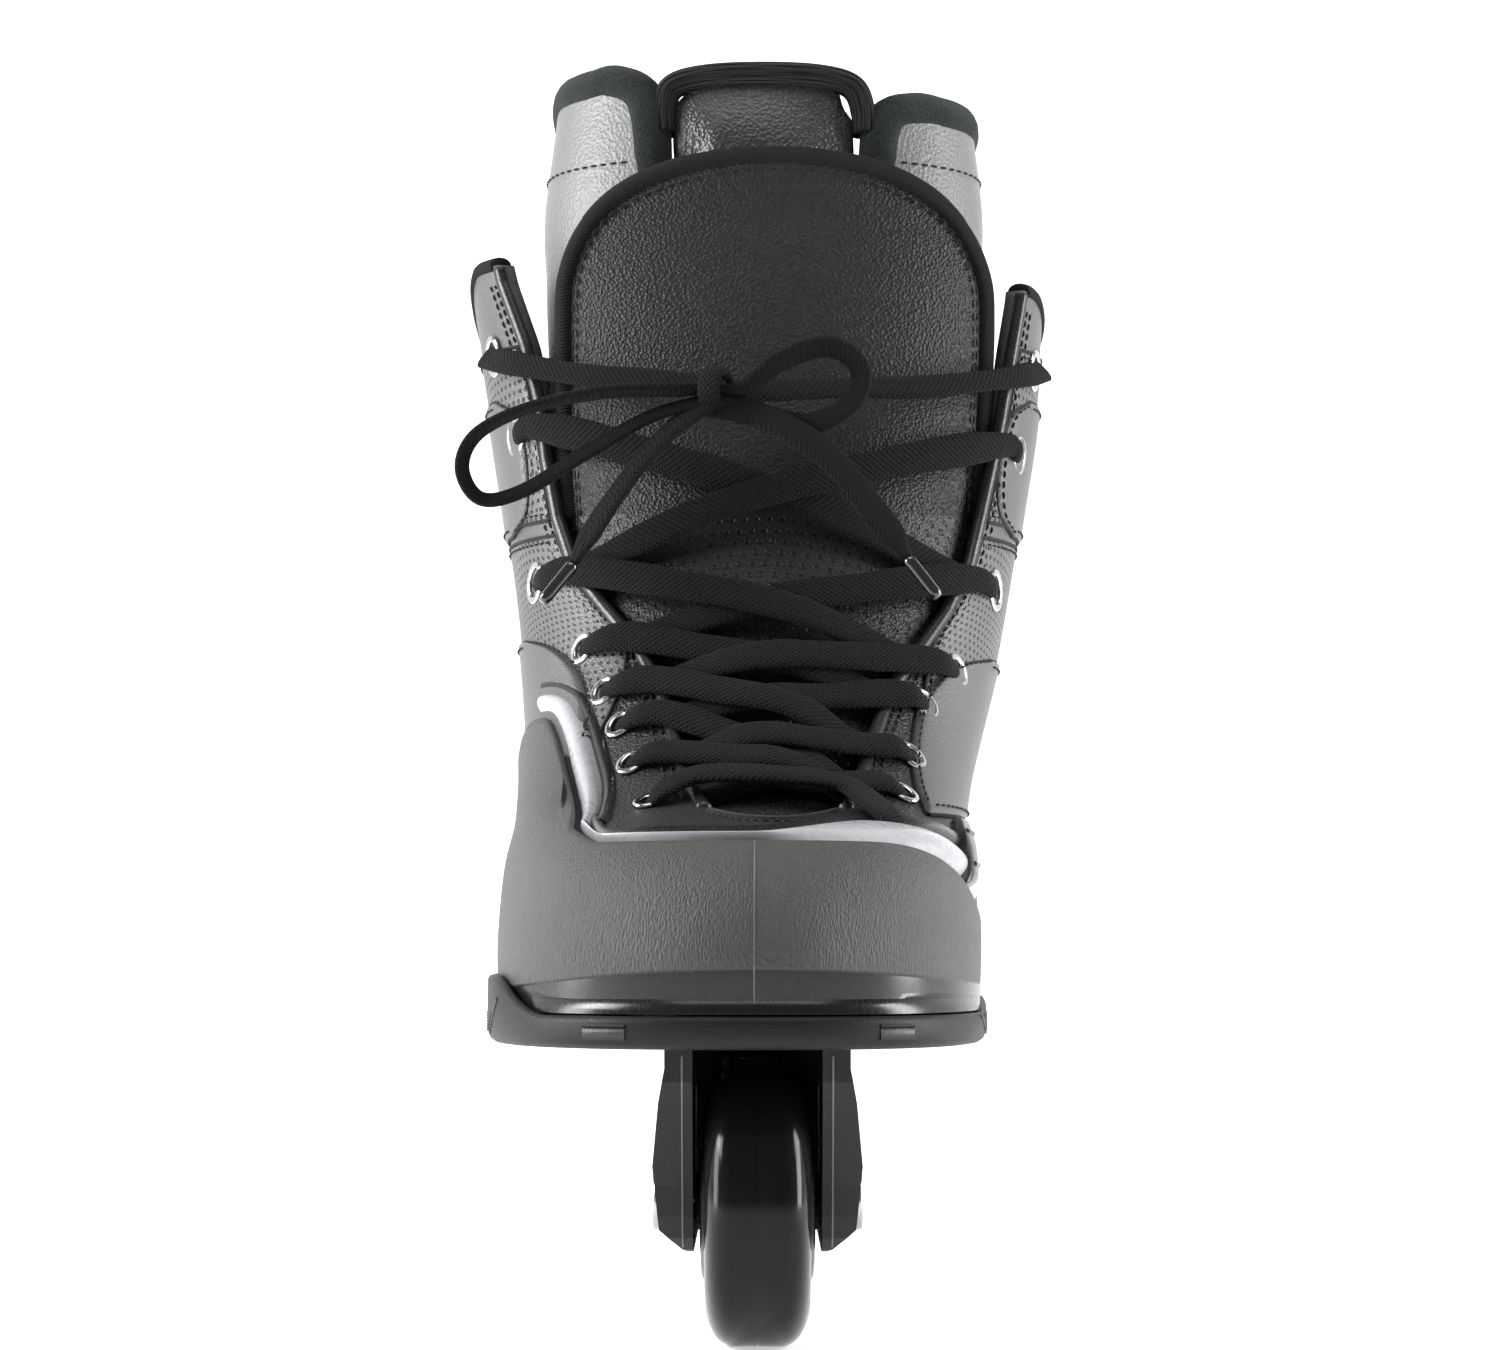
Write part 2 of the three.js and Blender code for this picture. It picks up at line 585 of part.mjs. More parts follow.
// The pad is notched round the rear frame bolt's head.
const padBox = box(-shockPad.width / 2, shockPad.width / 2, padFront, padBack, shellBottom, shellFloorTop);
add("heel_shock_pad", "foam", cut(padBox, boltHeadHole(bridgeY, 16)), boot);

// The pale inlay along the shell's top edge, wide at the sides and thin over the toe.
function makeStripe() {
  const [from, to] = [-Math.round(ringCount * 0.28), Math.round(ringCount * 0.23)];
  const stations = angles(ringCount).slice(0, to - from + 1).map((a) => a + (from * 2 * Math.PI) / ringCount);
  const rings = stations.map((angle, i) => {
    const low = shellEdge(angle) + gap;
    const inside = i > 0 && i < stations.length - 1;
    const wide = mix(stripe.frontWidth, stripe.sideWidth, smooth(0.35, 0.75, Math.abs(angle)));
    const high = low + (inside ? wide : stripe.frontWidth / 2);
    const out = -gap - stripe.thickness;
    const corners = [[low, 2], [high, 2], [high, out], [low, out]];
    return corners.map(([z, depth]) => insetPoint(bootForm, z, angle, depth));
  });
  return cut(skin(rings, true), bootRoom(gap, shellBottom));
}
add("shell_stripe", "stripe", makeStripe(), boot);

// ---------------------------------------------------------------- leather boot

// The lacing, from the toe up: the height and the distance to each side of every pair of eyelets.
const eyelets = [
  { z: [114.5, 108], x: [-24, 30.5] },
  { z: [124, 117], x: [-28.5, 32.5] },
  { z: [133.5, 126], x: [-31.5, 35] },
  { z: [142, 139], x: [-35.6, 38.8] },
  { z: [153, 148], x: [-41, 47] },
  { z: [171, 169.5], x: [-53.5, 57.5] },
  { z: [208, 204], x: [-59, 64] },
  { z: [229, 226], x: [-65, 68.5] },
];

// The throat's edge from its foot up to the ears, as (X, Z) on each side.
const throat = {
  foot: [3.5, 110.2],
  lateral: [
    [-11, 113], [-16, 121], [-22, 142], [-28.5, 154], [-36.5, 163.5], [-44, 173],
    [-48.5, 186], [-51.5, 201], [-53, 214], [-57, 230], [-63, 246], [-67, 262],
  ],
  medial: [
    [18, 112], [22.4, 118], [25.5, 128], [31, 142.5], [37, 151], [45, 162], [51.5, 175],
    [54.5, 187], [57.5, 200], [60, 212], [62.5, 226], [65.5, 242], [68, 262],
  ],
};
const openingBack = 48 * stretch; // the throat and the liner's slot are cut back to here

function throatTool() {
  const shape = new THREE.Shape();
  shape.moveTo(...throat.foot);
  throat.medial.forEach(([x, z]) => shape.lineTo(x, z));
  [...throat.lateral].reverse().forEach(([x, z]) => shape.lineTo(x, z));
  return alongY(shape, -sole.length, openingBack);
}

const leatherThickness = (z) => mix(leather.vamp, leather.collar, smooth(188, 232, z));

// Height of the leather's top line: an ear at each side of the throat, a dip at the ankle and a high back.
function collarEdge(angle) {
  const turn = Math.abs(angle > Math.PI ? angle - 2 * Math.PI : angle);
  const ear = angle > Math.PI ? 251 : 245;
  const dip = mix(ear, 232, smooth(1.15, 1.9, turn));
  return mix(dip, 248, smooth(2.2, 3.0, turn));
}

function makeUpper() {
  const heights = bootLevels;
  const tops = [0.5, 1];
  const face = (depthAt) => [
    ...heights.map((z) => angles(ringCount).map((a) => insetPoint(bootForm, z, a, depthAt(z)))),
    ...tops.map((share) =>
      angles(ringCount).map((a) => {
        const z = mix(heights.at(-1), collarEdge(a), share);
        return insetPoint(bootForm, z, a, depthAt(z));
      }),
    ),
  ];
  const outside = face(() => 0);
  const inside = face(leatherThickness).reverse();
  const rim = inside[0].map((p, i) => p.clone().add(outside.at(-1)[i]).multiplyScalar(0.5).setZ(p.z + 1.6));
  outside[0].forEach((p) => p.setZ(bootBottom));
  inside.at(-1).forEach((p) => p.setZ(bootBottom - 3));
  const hollow = skin([...outside, rim, ...inside]);
  const below = box(-100, 100, -sole.length, sole.length, bootBottom - 9, bootBottom);
  return cut(hollow, below, throatTool());
}
add("boot_upper", "leather", makeUpper(), boot);

// A patch of the front of a form between two faces, drawn by its heights and its half width at each side.
function frontPatch(table, rows, insetOut, insetIn, count) {
  const half = rows.map(({ z, left, right }) => {
    const at = (depth, x) => {
      const side = Math.sign(x);
      const [, , , , lateral, medial, power] = rowAt(table, z);
      const share = Math.min(Math.abs(x) / (side > 0 ? medial : lateral), 0.995);
      return insetPoint(table, z, side * Math.asin(share ** (power / 2)), depth);
    };
    const xs = Array.from({ length: count + 1 }, (_, i) => mix(left, right, i / count));
    return [xs.map((x) => at(insetOut(z), x)), xs.map((x) => at(insetIn(z), x))];
  });
  return sheetSolid(half.map((h) => h[0]), half.map((h) => h[1]));
}

// The outer tongue: narrow under the vamp, as wide as the throat above, with a round top.
const tongueRows = [
  { z: 110.5, left: -15, right: 20 },
  { z: 113, left: -21, right: 26 },
  { z: 121, left: -24, right: 29 },
  { z: 133, left: -28, right: 34 },
  { z: 148, left: -35, right: 43 },
  { z: 163, left: -44, right: 53 },
  { z: 180, left: -49, right: 57.5 },
  { z: 200, left: -51, right: 59 },
  { z: 218, left: -51, right: 60 },
  { z: tongueHinge.z, left: -51, right: 60.5 },
  { z: 247, left: -50, right: 59.5 },
  { z: 258, left: -45, right: 54 },
  { z: 267, left: -36, right: 45 },
  { z: 273, left: -23, right: 32 },
  { z: 275.6, left: -8, right: 17 },
];
const tongueInset = leather.vamp + tongueLayer.gap;
const tongueOut = () => tongueInset;
const tongueIn = (z) =>
  tongueInset + mix(tongueLayer.footThickness, tongueLayer.thickness, smooth(112, 150, z));
const hingeAt = tongueRows.findIndex((row) => row.z === tongueHinge.z);
const lowerRows = tongueRows.slice(0, hingeAt + 1);
const flapRows = tongueRows
  .slice(hingeAt)
  .map((row, i) => (i ? row : { ...row, z: row.z + tongueHinge.gap }));
add("tongue", "tongue", frontPatch(bootForm, lowerRows, tongueOut, tongueIn, 8), boot);
add("tongue_flap", "tongue", frontPatch(bootForm, flapRows, tongueOut, tongueIn, 8), boot);

// ---------------------------------------------------------------- liner

const linerTop = { lateral: 303, medial: 296, back: 288 };

function linerEdge(angle) {
  const turn = Math.abs(angle > Math.PI ? angle - 2 * Math.PI : angle);
  const wing = angle > Math.PI ? linerTop.lateral : linerTop.medial;
  const front = mix(wing - 14, wing, smooth(0.3, 0.75, turn));
  return mix(front, linerTop.back, smooth(1.3, 2.4, turn));
}

// The liner's own opening, as (X, Z), which its tongue fills.
const linerSlot = [
  [2, 116], [20, 126], [27, 150], [28.5, 200], [31, 320],
  [-27, 320], [-24.5, 200], [-23, 150], [-14, 126],
];

function makeLiner() {
  const heights = [bootBottom + gap, 84, 93, 98.5, 102, 104.6, 113, 134, 158, 187, 216, 250];
  const wall = (z) => mix(linerWall.toe, linerWall.collar, smooth(104, 150, z));
  const face = (depthAt) => [
    ...heights.map((z) => angles(ringCount).map((a) => insetPoint(linerForm, z, a, depthAt(z)))),
    ...[0.6, 1].map((share) =>
      angles(ringCount).map((a) => {
        const z = mix(heights.at(-1), linerEdge(a) - 4, share);
        return insetPoint(linerForm, z, a, depthAt(z));
      }),
    ),
  ];
  const outside = face(() => 0);
  const inside = face(wall).reverse();
  const rim = inside[0].map((p, i) => p.clone().add(outside.at(-1)[i]).multiplyScalar(0.5).setZ(p.z + 4));
  outside[0].forEach((p) => p.setZ(bootBottom + gap));
  inside.at(-1).forEach((p) => p.setZ(bootBottom + gap + linerWall.floor));
  const hollow = skin([...outside, rim, ...inside]);
  const slot = new THREE.Shape(linerSlot.map(([x, z]) => new THREE.Vector2(x, z)));
  return cut(hollow, alongY(slot, -sole.length, openingBack));
}

// The liner is sewn from six parts that meet edge to edge.
const linerSeams = { toe: -72, instep: 30, foot: 130, ankle: 200 };

function addLiner() {
  const whole = makeLiner();
  const far = 2 * sole.length;
  const half = gap / 2;
  const floorTop = bootBottom + gap + linerWall.floor;
  const toe = linerSeams.toe * stretch;
  const instep = linerSeams.instep * stretch;
  const addPart = (name, y0, y1, z0, z1) =>
    add(`liner_${name}`, "liner", whole.intersect(box(-far, far, y0, y1, z0, z1)), boot);
  addPart("sole", -far, far, -far, floorTop);
  addPart("toe", -far, toe - half, floorTop + gap, linerSeams.foot - half);
  addPart("instep", toe + half, instep - half, floorTop + gap, linerSeams.foot - half);
  addPart("heel", instep + half, far, floorTop + gap, linerSeams.foot - half);
  addPart("ankle", -far, far, linerSeams.foot + half, linerSeams.ankle - half);
  addPart("cuff", -far, far, linerSeams.ankle + half, far);
}
addLiner();

const linerTongueRows = [
  { z: 134, left: -14, right: 18 },
  { z: 150, left: -20.5, right: 24.5 },
  { z: 180, left: -22, right: 26 },
  { z: 215, left: -23, right: 27 },
  { z: 250, left: -24, right: 28 },
  { z: 282, left: -25, right: 28.5 },
  { z: 295, left: -24, right: 27.5 },
  { z: 301, left: -17, right: 21 },
];
const linerTongueOut = () => linerTongueLayer.inset;
const linerTongueIn = () => linerTongueLayer.inset + linerTongueLayer.thickness;
const linerTongue = frontPatch(linerForm, linerTongueRows, linerTongueOut, linerTongueIn, 6);
add("liner_tongue", "liner", linerTongue, boot);

// The removable footbed on the liner's floor.
function makeFootbed() {
  const bottom = bootBottom + gap + linerWall.floor + gap;
  const inset = linerWall.toe + footbed.inset;
  const level = (z) => angles(ringCount).map((a) => insetPoint(linerForm, 84, a, inset).setZ(z));
  return skin([level(bottom), level(bottom + footbed.thickness)]);
}
add("footbed", "foam", makeFootbed(), boot);

// ---------------------------------------------------------------- lace

// A point above the leather: X and Z on the front of the boot, lifted off its face.
function onBoot(x, z, lift) {
  const side = Math.sign(x) || 1;
  const [, , , , lateral, medial, power] = rowAt(bootForm, z);
  const share = Math.min(Math.abs(x) / (side > 0 ? medial : lateral), 0.99);
  return insetPoint(bootForm, z, side * Math.asin(share ** (power / 2)), -lift);
}

function cordTube(points, steps, radius = lace.diameter / 2) {
  const curve = new THREE.CatmullRomCurve3(points, false, "centripetal");
  const section = new THREE.Shape(
    angles(lace.sides).map((a) => new THREE.Vector2(radius * Math.cos(a), radius * Math.sin(a))),
  );
  return toSolid(new THREE.ExtrudeGeometry(section, { steps, bevelEnabled: false, extrudePath: curve }));
}

// A flat band that follows the boot's face through (X, Z, lift) points.
function laceBand(points) {
  const middles = points.map(([x, z, lift]) => onBoot(x, z, lift));
  const rings = points.map(([x, z, lift], i) => {
    const along = middles[Math.min(i + 1, points.length - 1)].clone().sub(middles[Math.max(i - 1, 0)]);
    const normal = onBoot(x, z, lift + 1).sub(middles[i]).normalize();
    const across = along.cross(normal).normalize().multiplyScalar(lace.width / 2);
    const up = normal.multiplyScalar(lace.thickness / 2);
    return [[1, 1], [-1, 1], [-1, -1], [1, -1]].map(([side, face]) =>
      middles[i].clone().addScaledVector(across, side).addScaledVector(up, face));
  });
  return skin(rings, true);
}

// One leg of the crossed lacing, from an eyelet over the tongue to the next eyelet of the other side.
function laceLeg(fromSide, from, to) {
  const toSide = 1 - fromSide;
  return laceBand([0, 0.15, 0.3, 0.5, 0.7, 0.85, 1].map((share) => {
    const x = mix(from.x[fromSide], to.x[toSide], share);
    return [x, mix(from.z[fromSide], to.z[toSide], share) + 6 * share * (1 - share), laceLift];
  }));
}

function makeLaceRows() {
  const [first] = eyelets;
  const bar = laceBand([0, 0.25, 0.5, 0.75, 1].map((share) => {
    const z = mix(first.z[0], first.z[1], share) + 12 * share * (1 - share);
    return [mix(first.x[0], first.x[1], share), z, laceLift + 0.6];
  }));
  const legs = eyelets
    .slice(1, 7)
    .flatMap((to, i) => [laceLeg(0, eyelets[i], to), laceLeg(1, eyelets[i], to)]);
  return join(bar, ...legs);
}

// The bow: two bands from the top eyelets to the knot, two loops, and two ends that carry the aglets.
const knot = new THREE.Vector3(-9.5, -21, 214);
const bowRoutes = {
  lateralBand: [[-65, 229, 2.6], [-56, 225, 3.4], [-38, 219.5, 5], [-22, 216.5, 6.5]],
  medialBand: [[68.5, 226, 2.6], [60, 222, 3.6], [38, 216.5, 5], [14, 214.5, 6.5]],
};
const loops = {
  lateral: [
    [-18, -23, 214], [-36, -26, 213], [-54, -27, 209], [-66, -26, 203], [-69.5, -25, 195],
    [-65, -24, 188], [-55, -24, 190], [-40, -25, 199], [-24, -24, 208],
  ],
  medial: [
    [-3, -25, 214], [6, -30, 220], [17, -31, 223], [24, -30, 218],
    [22, -29, 210], [12, -28, 205], [2, -26, 207],
  ],
};
const ends = {
  lateral: [[-14, -25, 209], [-24, -29, 200], [-33, -32, 188], [-40, -33, 177], [-42.5, -33.5, 172]],
  medial: [[-1, -26, 208], [10, -31, 202], [20, -34, 193], [29, -36, 181], [34.5, -37, 173]],
};
const aglet = { diameter: 3.2, length: 12, start: 0.9 };
const agletAlong = { lateral: [-0.62, -0.1, -0.78], medial: [0.6, -0.1, -0.79] };

const route = (list) => list.map((p) => new THREE.Vector3(...p));

function makeBow() {
  const bands = Object.values(bowRoutes).map((points) =>
    cordTube([...points.map(([x, z, lift]) => onBoot(x, z, lift)), knot], 6),
  );
  const rings = Object.values(loops).map((points) => cordTube([knot, ...route(points), knot], 16));
  const tails = Object.values(ends).map((points) => cordTube([knot, ...route(points)], 6));
  const core = toSolid(new THREE.SphereGeometry(lace.knotRadius, 8, 6).translate(...knot.toArray()));
  return join(...bands, ...rings, ...tails, core);
}

function makeAglet(side) {
  const tip = new THREE.Vector3(...ends[side].at(-1));
  const along = new THREE.Vector3(...agletAlong[side]).normalize();
  const from = tip.clone().addScaledVector(along, aglet.start);
  const to = tip.clone().addScaledVector(along, aglet.length);
  const radius = aglet.diameter / 2;
  const round = new THREE.Shape(
    angles(lace.sides).map((a) => new THREE.Vector2(radius * Math.cos(a), radius * Math.sin(a))),
  );
  const extrudePath = new THREE.LineCurve3(from, to);
  return toSolid(new THREE.ExtrudeGeometry(round, { steps: 1, bevelEnabled: false, extrudePath }));
}

add("lace_rows", "lace", makeLaceRows(), boot);
add("lace_bow", "lace", makeBow(), boot);
add("aglet_lateral", "hub", makeAglet("lateral"), boot);
add("aglet_medial", "hub", makeAglet("medial"), boot);

export default skate;
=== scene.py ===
"""A street inline skate for the right foot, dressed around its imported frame.

Metres in Blender, millimetres in the tables below. +Z is up, -Y is the toe, -X is the lateral side.
"""
import math

import bmesh
import bpy
import numpy as np
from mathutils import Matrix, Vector
from mathutils.bvhtree import BVHTree


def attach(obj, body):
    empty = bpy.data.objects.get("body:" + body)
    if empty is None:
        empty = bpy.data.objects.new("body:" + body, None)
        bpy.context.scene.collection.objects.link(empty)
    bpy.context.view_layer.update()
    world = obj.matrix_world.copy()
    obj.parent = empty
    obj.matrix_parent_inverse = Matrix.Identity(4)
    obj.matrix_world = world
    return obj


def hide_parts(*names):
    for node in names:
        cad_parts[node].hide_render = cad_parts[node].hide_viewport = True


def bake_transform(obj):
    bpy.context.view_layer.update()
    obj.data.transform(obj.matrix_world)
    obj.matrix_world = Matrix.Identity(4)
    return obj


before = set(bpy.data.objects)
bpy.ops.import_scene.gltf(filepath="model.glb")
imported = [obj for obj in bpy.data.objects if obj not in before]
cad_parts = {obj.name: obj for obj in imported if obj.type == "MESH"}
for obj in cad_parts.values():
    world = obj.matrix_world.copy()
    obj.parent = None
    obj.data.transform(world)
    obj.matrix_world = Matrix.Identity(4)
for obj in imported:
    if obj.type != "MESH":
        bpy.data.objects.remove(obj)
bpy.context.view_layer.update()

MM = 0.001
SOLE_TOP = 69.0
SHELL_BOTTOM = 69.4
SHELL_OUT = 3.0
WHEEL_RADIUS = 30.0
AXLE_YS = (-114.0, -48.0, 48.0, 114.0)
KNOT = (-9.5, -21.0, 214.0)

# ---------------------------------------------------------------- camera

EYE = Vector((0.0, -0.921, 0.084))
AIM = Vector((-0.0018, 0.0, 0.1481))
FOCAL_MM = 92.0


def add_camera():
    data = bpy.data.cameras.new("camera")
    data.lens = FOCAL_MM
    data.sensor_width = 36.0
    data.clip_start = 0.02
    camera = bpy.data.objects.new("camera", data)
    camera.location = EYE
    camera.rotation_euler = (AIM - EYE).to_track_quat("-Z", "Y").to_euler()
    bpy.context.collection.objects.link(camera)
    bpy.context.scene.camera = camera


add_camera()

# ---------------------------------------------------------------- boot form

# height, front, back and widest-point Y, lateral and medial half width, squareness in front and behind
BOOT = np.array([
    [70, -146.5, 142, -60, 54, 46, 2.5, 3.0],
    [82, -147.5, 143, -60, 54.5, 46.5, 2.5, 3.0],
    [94, -144.5, 143, -57, 54, 46.5, 2.45, 2.9],
    [101, -139.5, 142.5, -52, 53.5, 46.5, 2.4, 2.8],
    [105, -131, 142, -48, 53, 46.5, 2.3, 2.8],
    [108, -115, 142, -42, 52.8, 46.5, 2.2, 2.7],
    [111, -93, 141.5, -36, 52.8, 47, 2.15, 2.7],
    [115, -77, 141, -28, 53, 47.8, 2.1, 2.6],
    [122, -64, 140.5, -15, 53.5, 49.5, 2.1, 2.6],
    [135, -48, 139.5, 5, 55, 53.5, 2.1, 2.5],
    [150, -35, 138, 22, 57, 58, 2.1, 2.5],
    [168, -24, 135, 35, 59.5, 62, 2.15, 2.4],
    [190, -15, 132, 42, 63, 66, 2.2, 2.4],
    [215, -8.5, 130, 44, 67, 70, 2.25, 2.3],
    [252, -4, 128, 44, 73, 73, 2.3, 2.3],
])
LINER = np.array([
    [72.8, -140, 136, -58, 49, 41, 2.5, 3.0],
    [84, -142.5, 137.5, -58, 50, 42, 2.5, 3.0],
    [93, -138.5, 138, -55, 49.5, 42, 2.45, 2.9],
    [99, -131, 137.5, -50, 49, 42, 2.35, 2.8],
    [102.6, -112, 137, -42, 48, 42, 2.2, 2.7],
    [104.6, -80, 136.5, -32, 47, 42, 2.1, 2.7],
    [114, -55, 135.5, -15, 46.5, 42.5, 2.1, 2.6],
    [135, -33.5, 134, 8, 47, 46, 2.1, 2.5],
    [158, -16.5, 130, 28, 48.5, 50, 2.1, 2.4],
    [187, -3.5, 125, 40, 50.5, 53, 2.15, 2.4],
    [215, 3, 122, 43, 52, 55, 2.2, 2.3],
    [250, 6.5, 119, 44, 53.5, 56.5, 2.2, 2.3],
    [285, 9, 118, 45, 52.5, 56, 2.2, 2.3],
    [308, 12, 118, 46, 50, 54, 2.2, 2.3],
])


def smooth(low, high, value):
    t = np.clip((np.asarray(value, float) - low) / (high - low), 0, 1)
    return t * t * (3 - 2 * t)


def mix(a, b, share):
    return a + (b - a) * share


def hermite(table, z):
    """Rows of a table at heights z, by cubic interpolation. The last axis holds the columns."""
    z = np.asarray(z, float)
    zs = table[:, 0]
    i = np.clip(np.searchsorted(zs, z, side="right") - 1, 0, len(zs) - 2)
    span = zs[i + 1] - zs[i]
    t = np.clip((z - zs[i]) / span, -0.2, 1.2)[..., None]

    def slope(j):
        low, high = np.maximum(j - 1, 0), np.minimum(j + 1, len(zs) - 1)
        return (table[high] - table[low]) / (zs[high] - zs[low])[..., None]

    t2, t3 = t * t, t * t * t
    flat = (2 * t3 - 3 * t2 + 1) * table[i] + (3 * t2 - 2 * t3) * table[i + 1]
    return flat + span[..., None] * ((t3 - 2 * t2 + t) * slope(i) + (t3 - t2) * slope(i + 1))


def form(table, z, angle):
    """Points of a form. Angle 0 is the front, and a quarter turn is the medial side."""
    z, angle = np.broadcast_arrays(np.asarray(z, float), np.asarray(angle, float))
    row = hermite(table, z)
    ahead, side = np.cos(angle), np.sin(angle)
    power = 2 / np.where(ahead > 0, row[..., 6], row[..., 7])
    reach = np.where(ahead > 0, row[..., 3] - row[..., 1], row[..., 2] - row[..., 3])
    x = np.sign(side) * np.where(side > 0, row[..., 5], row[..., 4]) * np.abs(side) ** power
    y = row[..., 3] - np.sign(ahead) * reach * np.abs(ahead) ** power
    return np.stack([x, y, z], -1)


def inset(table, z, angle, depth):
    """The same points moved in along the face's normal."""
    z, angle = np.broadcast_arrays(np.asarray(z, float), np.asarray(angle, float))
    up = form(table, z + 0.6, angle) - form(table, z - 0.6, angle)
    around = form(table, z, angle + 0.03) - form(table, z, angle - 0.03)
    normal = np.cross(around, up)
    normal /= np.linalg.norm(normal, axis=-1, keepdims=True)
    return form(table, z, angle) - normal * np.asarray(depth, float)[..., None]


def angle_at(table, x, z):
    """The angle on the front half where a form is x wide at height z."""
    x, z = np.broadcast_arrays(np.asarray(x, float), np.asarray(z, float))
    row = hermite(table, z)
    share = np.clip(np.abs(x) / np.where(x > 0, row[..., 5], row[..., 4]), 0, 0.995)
    return np.sign(x) * np.arcsin(share ** (row[..., 6] / 2))


def on_boot(x, z, lift=0.0):
    return inset(BOOT, z, angle_at(BOOT, x, z), -np.asarray(lift, float) * np.ones_like(np.asarray(z, float)))


def resample(points, count, closed=False):
    """A smooth Catmull-Rom curve through points, with evenly spaced samples."""
    pts = np.asarray(points, float)
    if closed:
        padded = np.vstack([pts[-1], pts, pts[0], pts[1]])
    else:
        padded = np.vstack([2 * pts[0] - pts[1], pts, 2 * pts[-1] - pts[-2]])
    dense = []
    t = np.linspace(0, 1, 24, endpoint=False)[:, None]
    for a, b, c, d in zip(padded, padded[1:], padded[2:], padded[3:]):
        dense.append(0.5 * (2 * b + (c - a) * t + (2 * a - 5 * b + 4 * c - d) * t**2
                            + (3 * b - a - 3 * c + d) * t**3))
    dense = np.vstack(dense + ([] if closed else [pts[-1:]]))
    if closed:
        dense = np.vstack([dense, dense[:1]])
    steps = np.r_[0, np.cumsum(np.linalg.norm(np.diff(dense, axis=0), axis=1))]
    want = np.linspace(0, steps[-1], count + (1 if closed else 0))
    out = np.stack([np.interp(want, steps, dense[:, k]) for k in range(dense.shape[1])], -1)
    return out[:-1] if closed else out


# ---------------------------------------------------------------- meshes

def new_object(name, verts, faces, uvs=None, material=None, body="boot", slot=None):
    """An object of millimetre vertices that rides on a body."""
    mesh = bpy.data.meshes.new(name)
    mesh.from_pydata((np.asarray(verts, float) * MM).tolist(), [], faces)
    mesh.update()
    mesh.polygons.foreach_set("use_smooth", [True] * len(mesh.polygons))
    if uvs is not None:
        layer = mesh.uv_layers.new(name="UVMap")
        loops = np.zeros(len(mesh.loops), int)
        mesh.loops.foreach_get("vertex_index", loops)
        layer.data.foreach_set("uv", np.asarray(uvs, float)[loops].ravel())
    obj = bpy.data.objects.new(name, mesh)
    bpy.context.collection.objects.link(obj)
    for one in material if isinstance(material, (list, tuple)) else [material]:
        if one:
            mesh.materials.append(one)
    if body:
        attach(obj, body)
    return obj


def grid_faces(rows, cols, wrap=False, start=0):
    faces = []
    for r in range(rows - 1):
        for c in range(cols if wrap else cols - 1):
            a, b = start + r * cols + c, start + r * cols + (c + 1) % cols
            faces.append((a, b, b + cols, a + cols))
    return faces


def arc_uv(points):
    """UVs in millimetres: arc length along each row, and along the columns."""
    u = np.zeros(points.shape[:2])
    u[:, 1:] = np.cumsum(np.linalg.norm(np.diff(points, axis=1), axis=2), axis=1)
    v = np.zeros(points.shape[:2])
    v[1:] = np.cumsum(np.linalg.norm(np.diff(points, axis=0), axis=2), axis=0)
    return np.stack([u, v], -1).reshape(-1, 2)


def grid(name, points, wrap=False, caps=False, **options):
    """A surface over rows of points, with its UVs in millimetres."""
    points = np.asarray(points, float)
    rows, cols = points.shape[:2]
    faces = grid_faces(rows, cols, wrap)
    if caps:
        faces += [tuple(range(cols))[::-1], tuple(range((rows - 1) * cols, rows * cols))]
    return new_object(name, points.reshape(-1, 3), faces, arc_uv(points), **options)


def weld(obj, distance=0.02):
    mesh = bmesh.new()
    mesh.from_mesh(obj.data)
    bmesh.ops.remove_doubles(mesh, verts=mesh.verts, dist=distance * MM)
    bmesh.ops.recalc_face_normals(mesh, faces=mesh.faces)
    mesh.to_mesh(obj.data)
    mesh.free()
    return obj


def outward(obj, centre=(0.0, 0.04, 0.15)):
    """Turn an open sheet's faces away from a point inside the boot."""
    mesh = obj.data
    middle = Vector(centre)
    score = sum((p.center - middle).dot(p.normal) * p.area for p in mesh.polygons)
    if score < 0:
        mesh.flip_normals()
    return obj


def thicken(obj, thickness, subdivide, rim=0, inner=0):
    """Give an open sheet its wall, on the inner side."""
    solid = obj.modifiers.new("thickness", "SOLIDIFY")
    solid.thickness = thickness * MM
    solid.offset = -1.0
    solid.use_even_offset = True
    solid.use_quality_normals = True
    solid.material_offset = inner
    solid.material_offset_rim = rim
    if subdivide:
        smooth_out(obj)


def smooth_out(obj):
    sub = obj.modifiers.new("smooth", "SUBSURF")
    sub.levels = sub.render_levels = 1


def soften(obj, width=0.5, segments=2, angle=30):
    bevel = obj.modifiers.new("soft_edges", "BEVEL")
    bevel.width = width * MM
    bevel.segments = segments
    bevel.limit_method = "ANGLE"
    bevel.angle_limit = math.radians(angle)
    return bevel


def frames_along(path, normals=None):
    """Tangent, side and up vectors along a path; up follows the normals where they are given."""
    path = np.asarray(path, float)
    tangent = np.gradient(path, axis=0)
    tangent /= np.linalg.norm(tangent, axis=1, keepdims=True)
    if normals is None:
        up = np.zeros_like(path)
        current = np.array([0.0, -1.0, 0.2])
        for i, t in enumerate(tangent):
            current = current - t * current.dot(t)
            current /= np.linalg.norm(current)
            up[i] = current
    else:
        up = normals - tangent * np.sum(normals * tangent, axis=1, keepdims=True)
        up /= np.linalg.norm(up, axis=1, keepdims=True)
    return tangent, np.cross(tangent, up), up


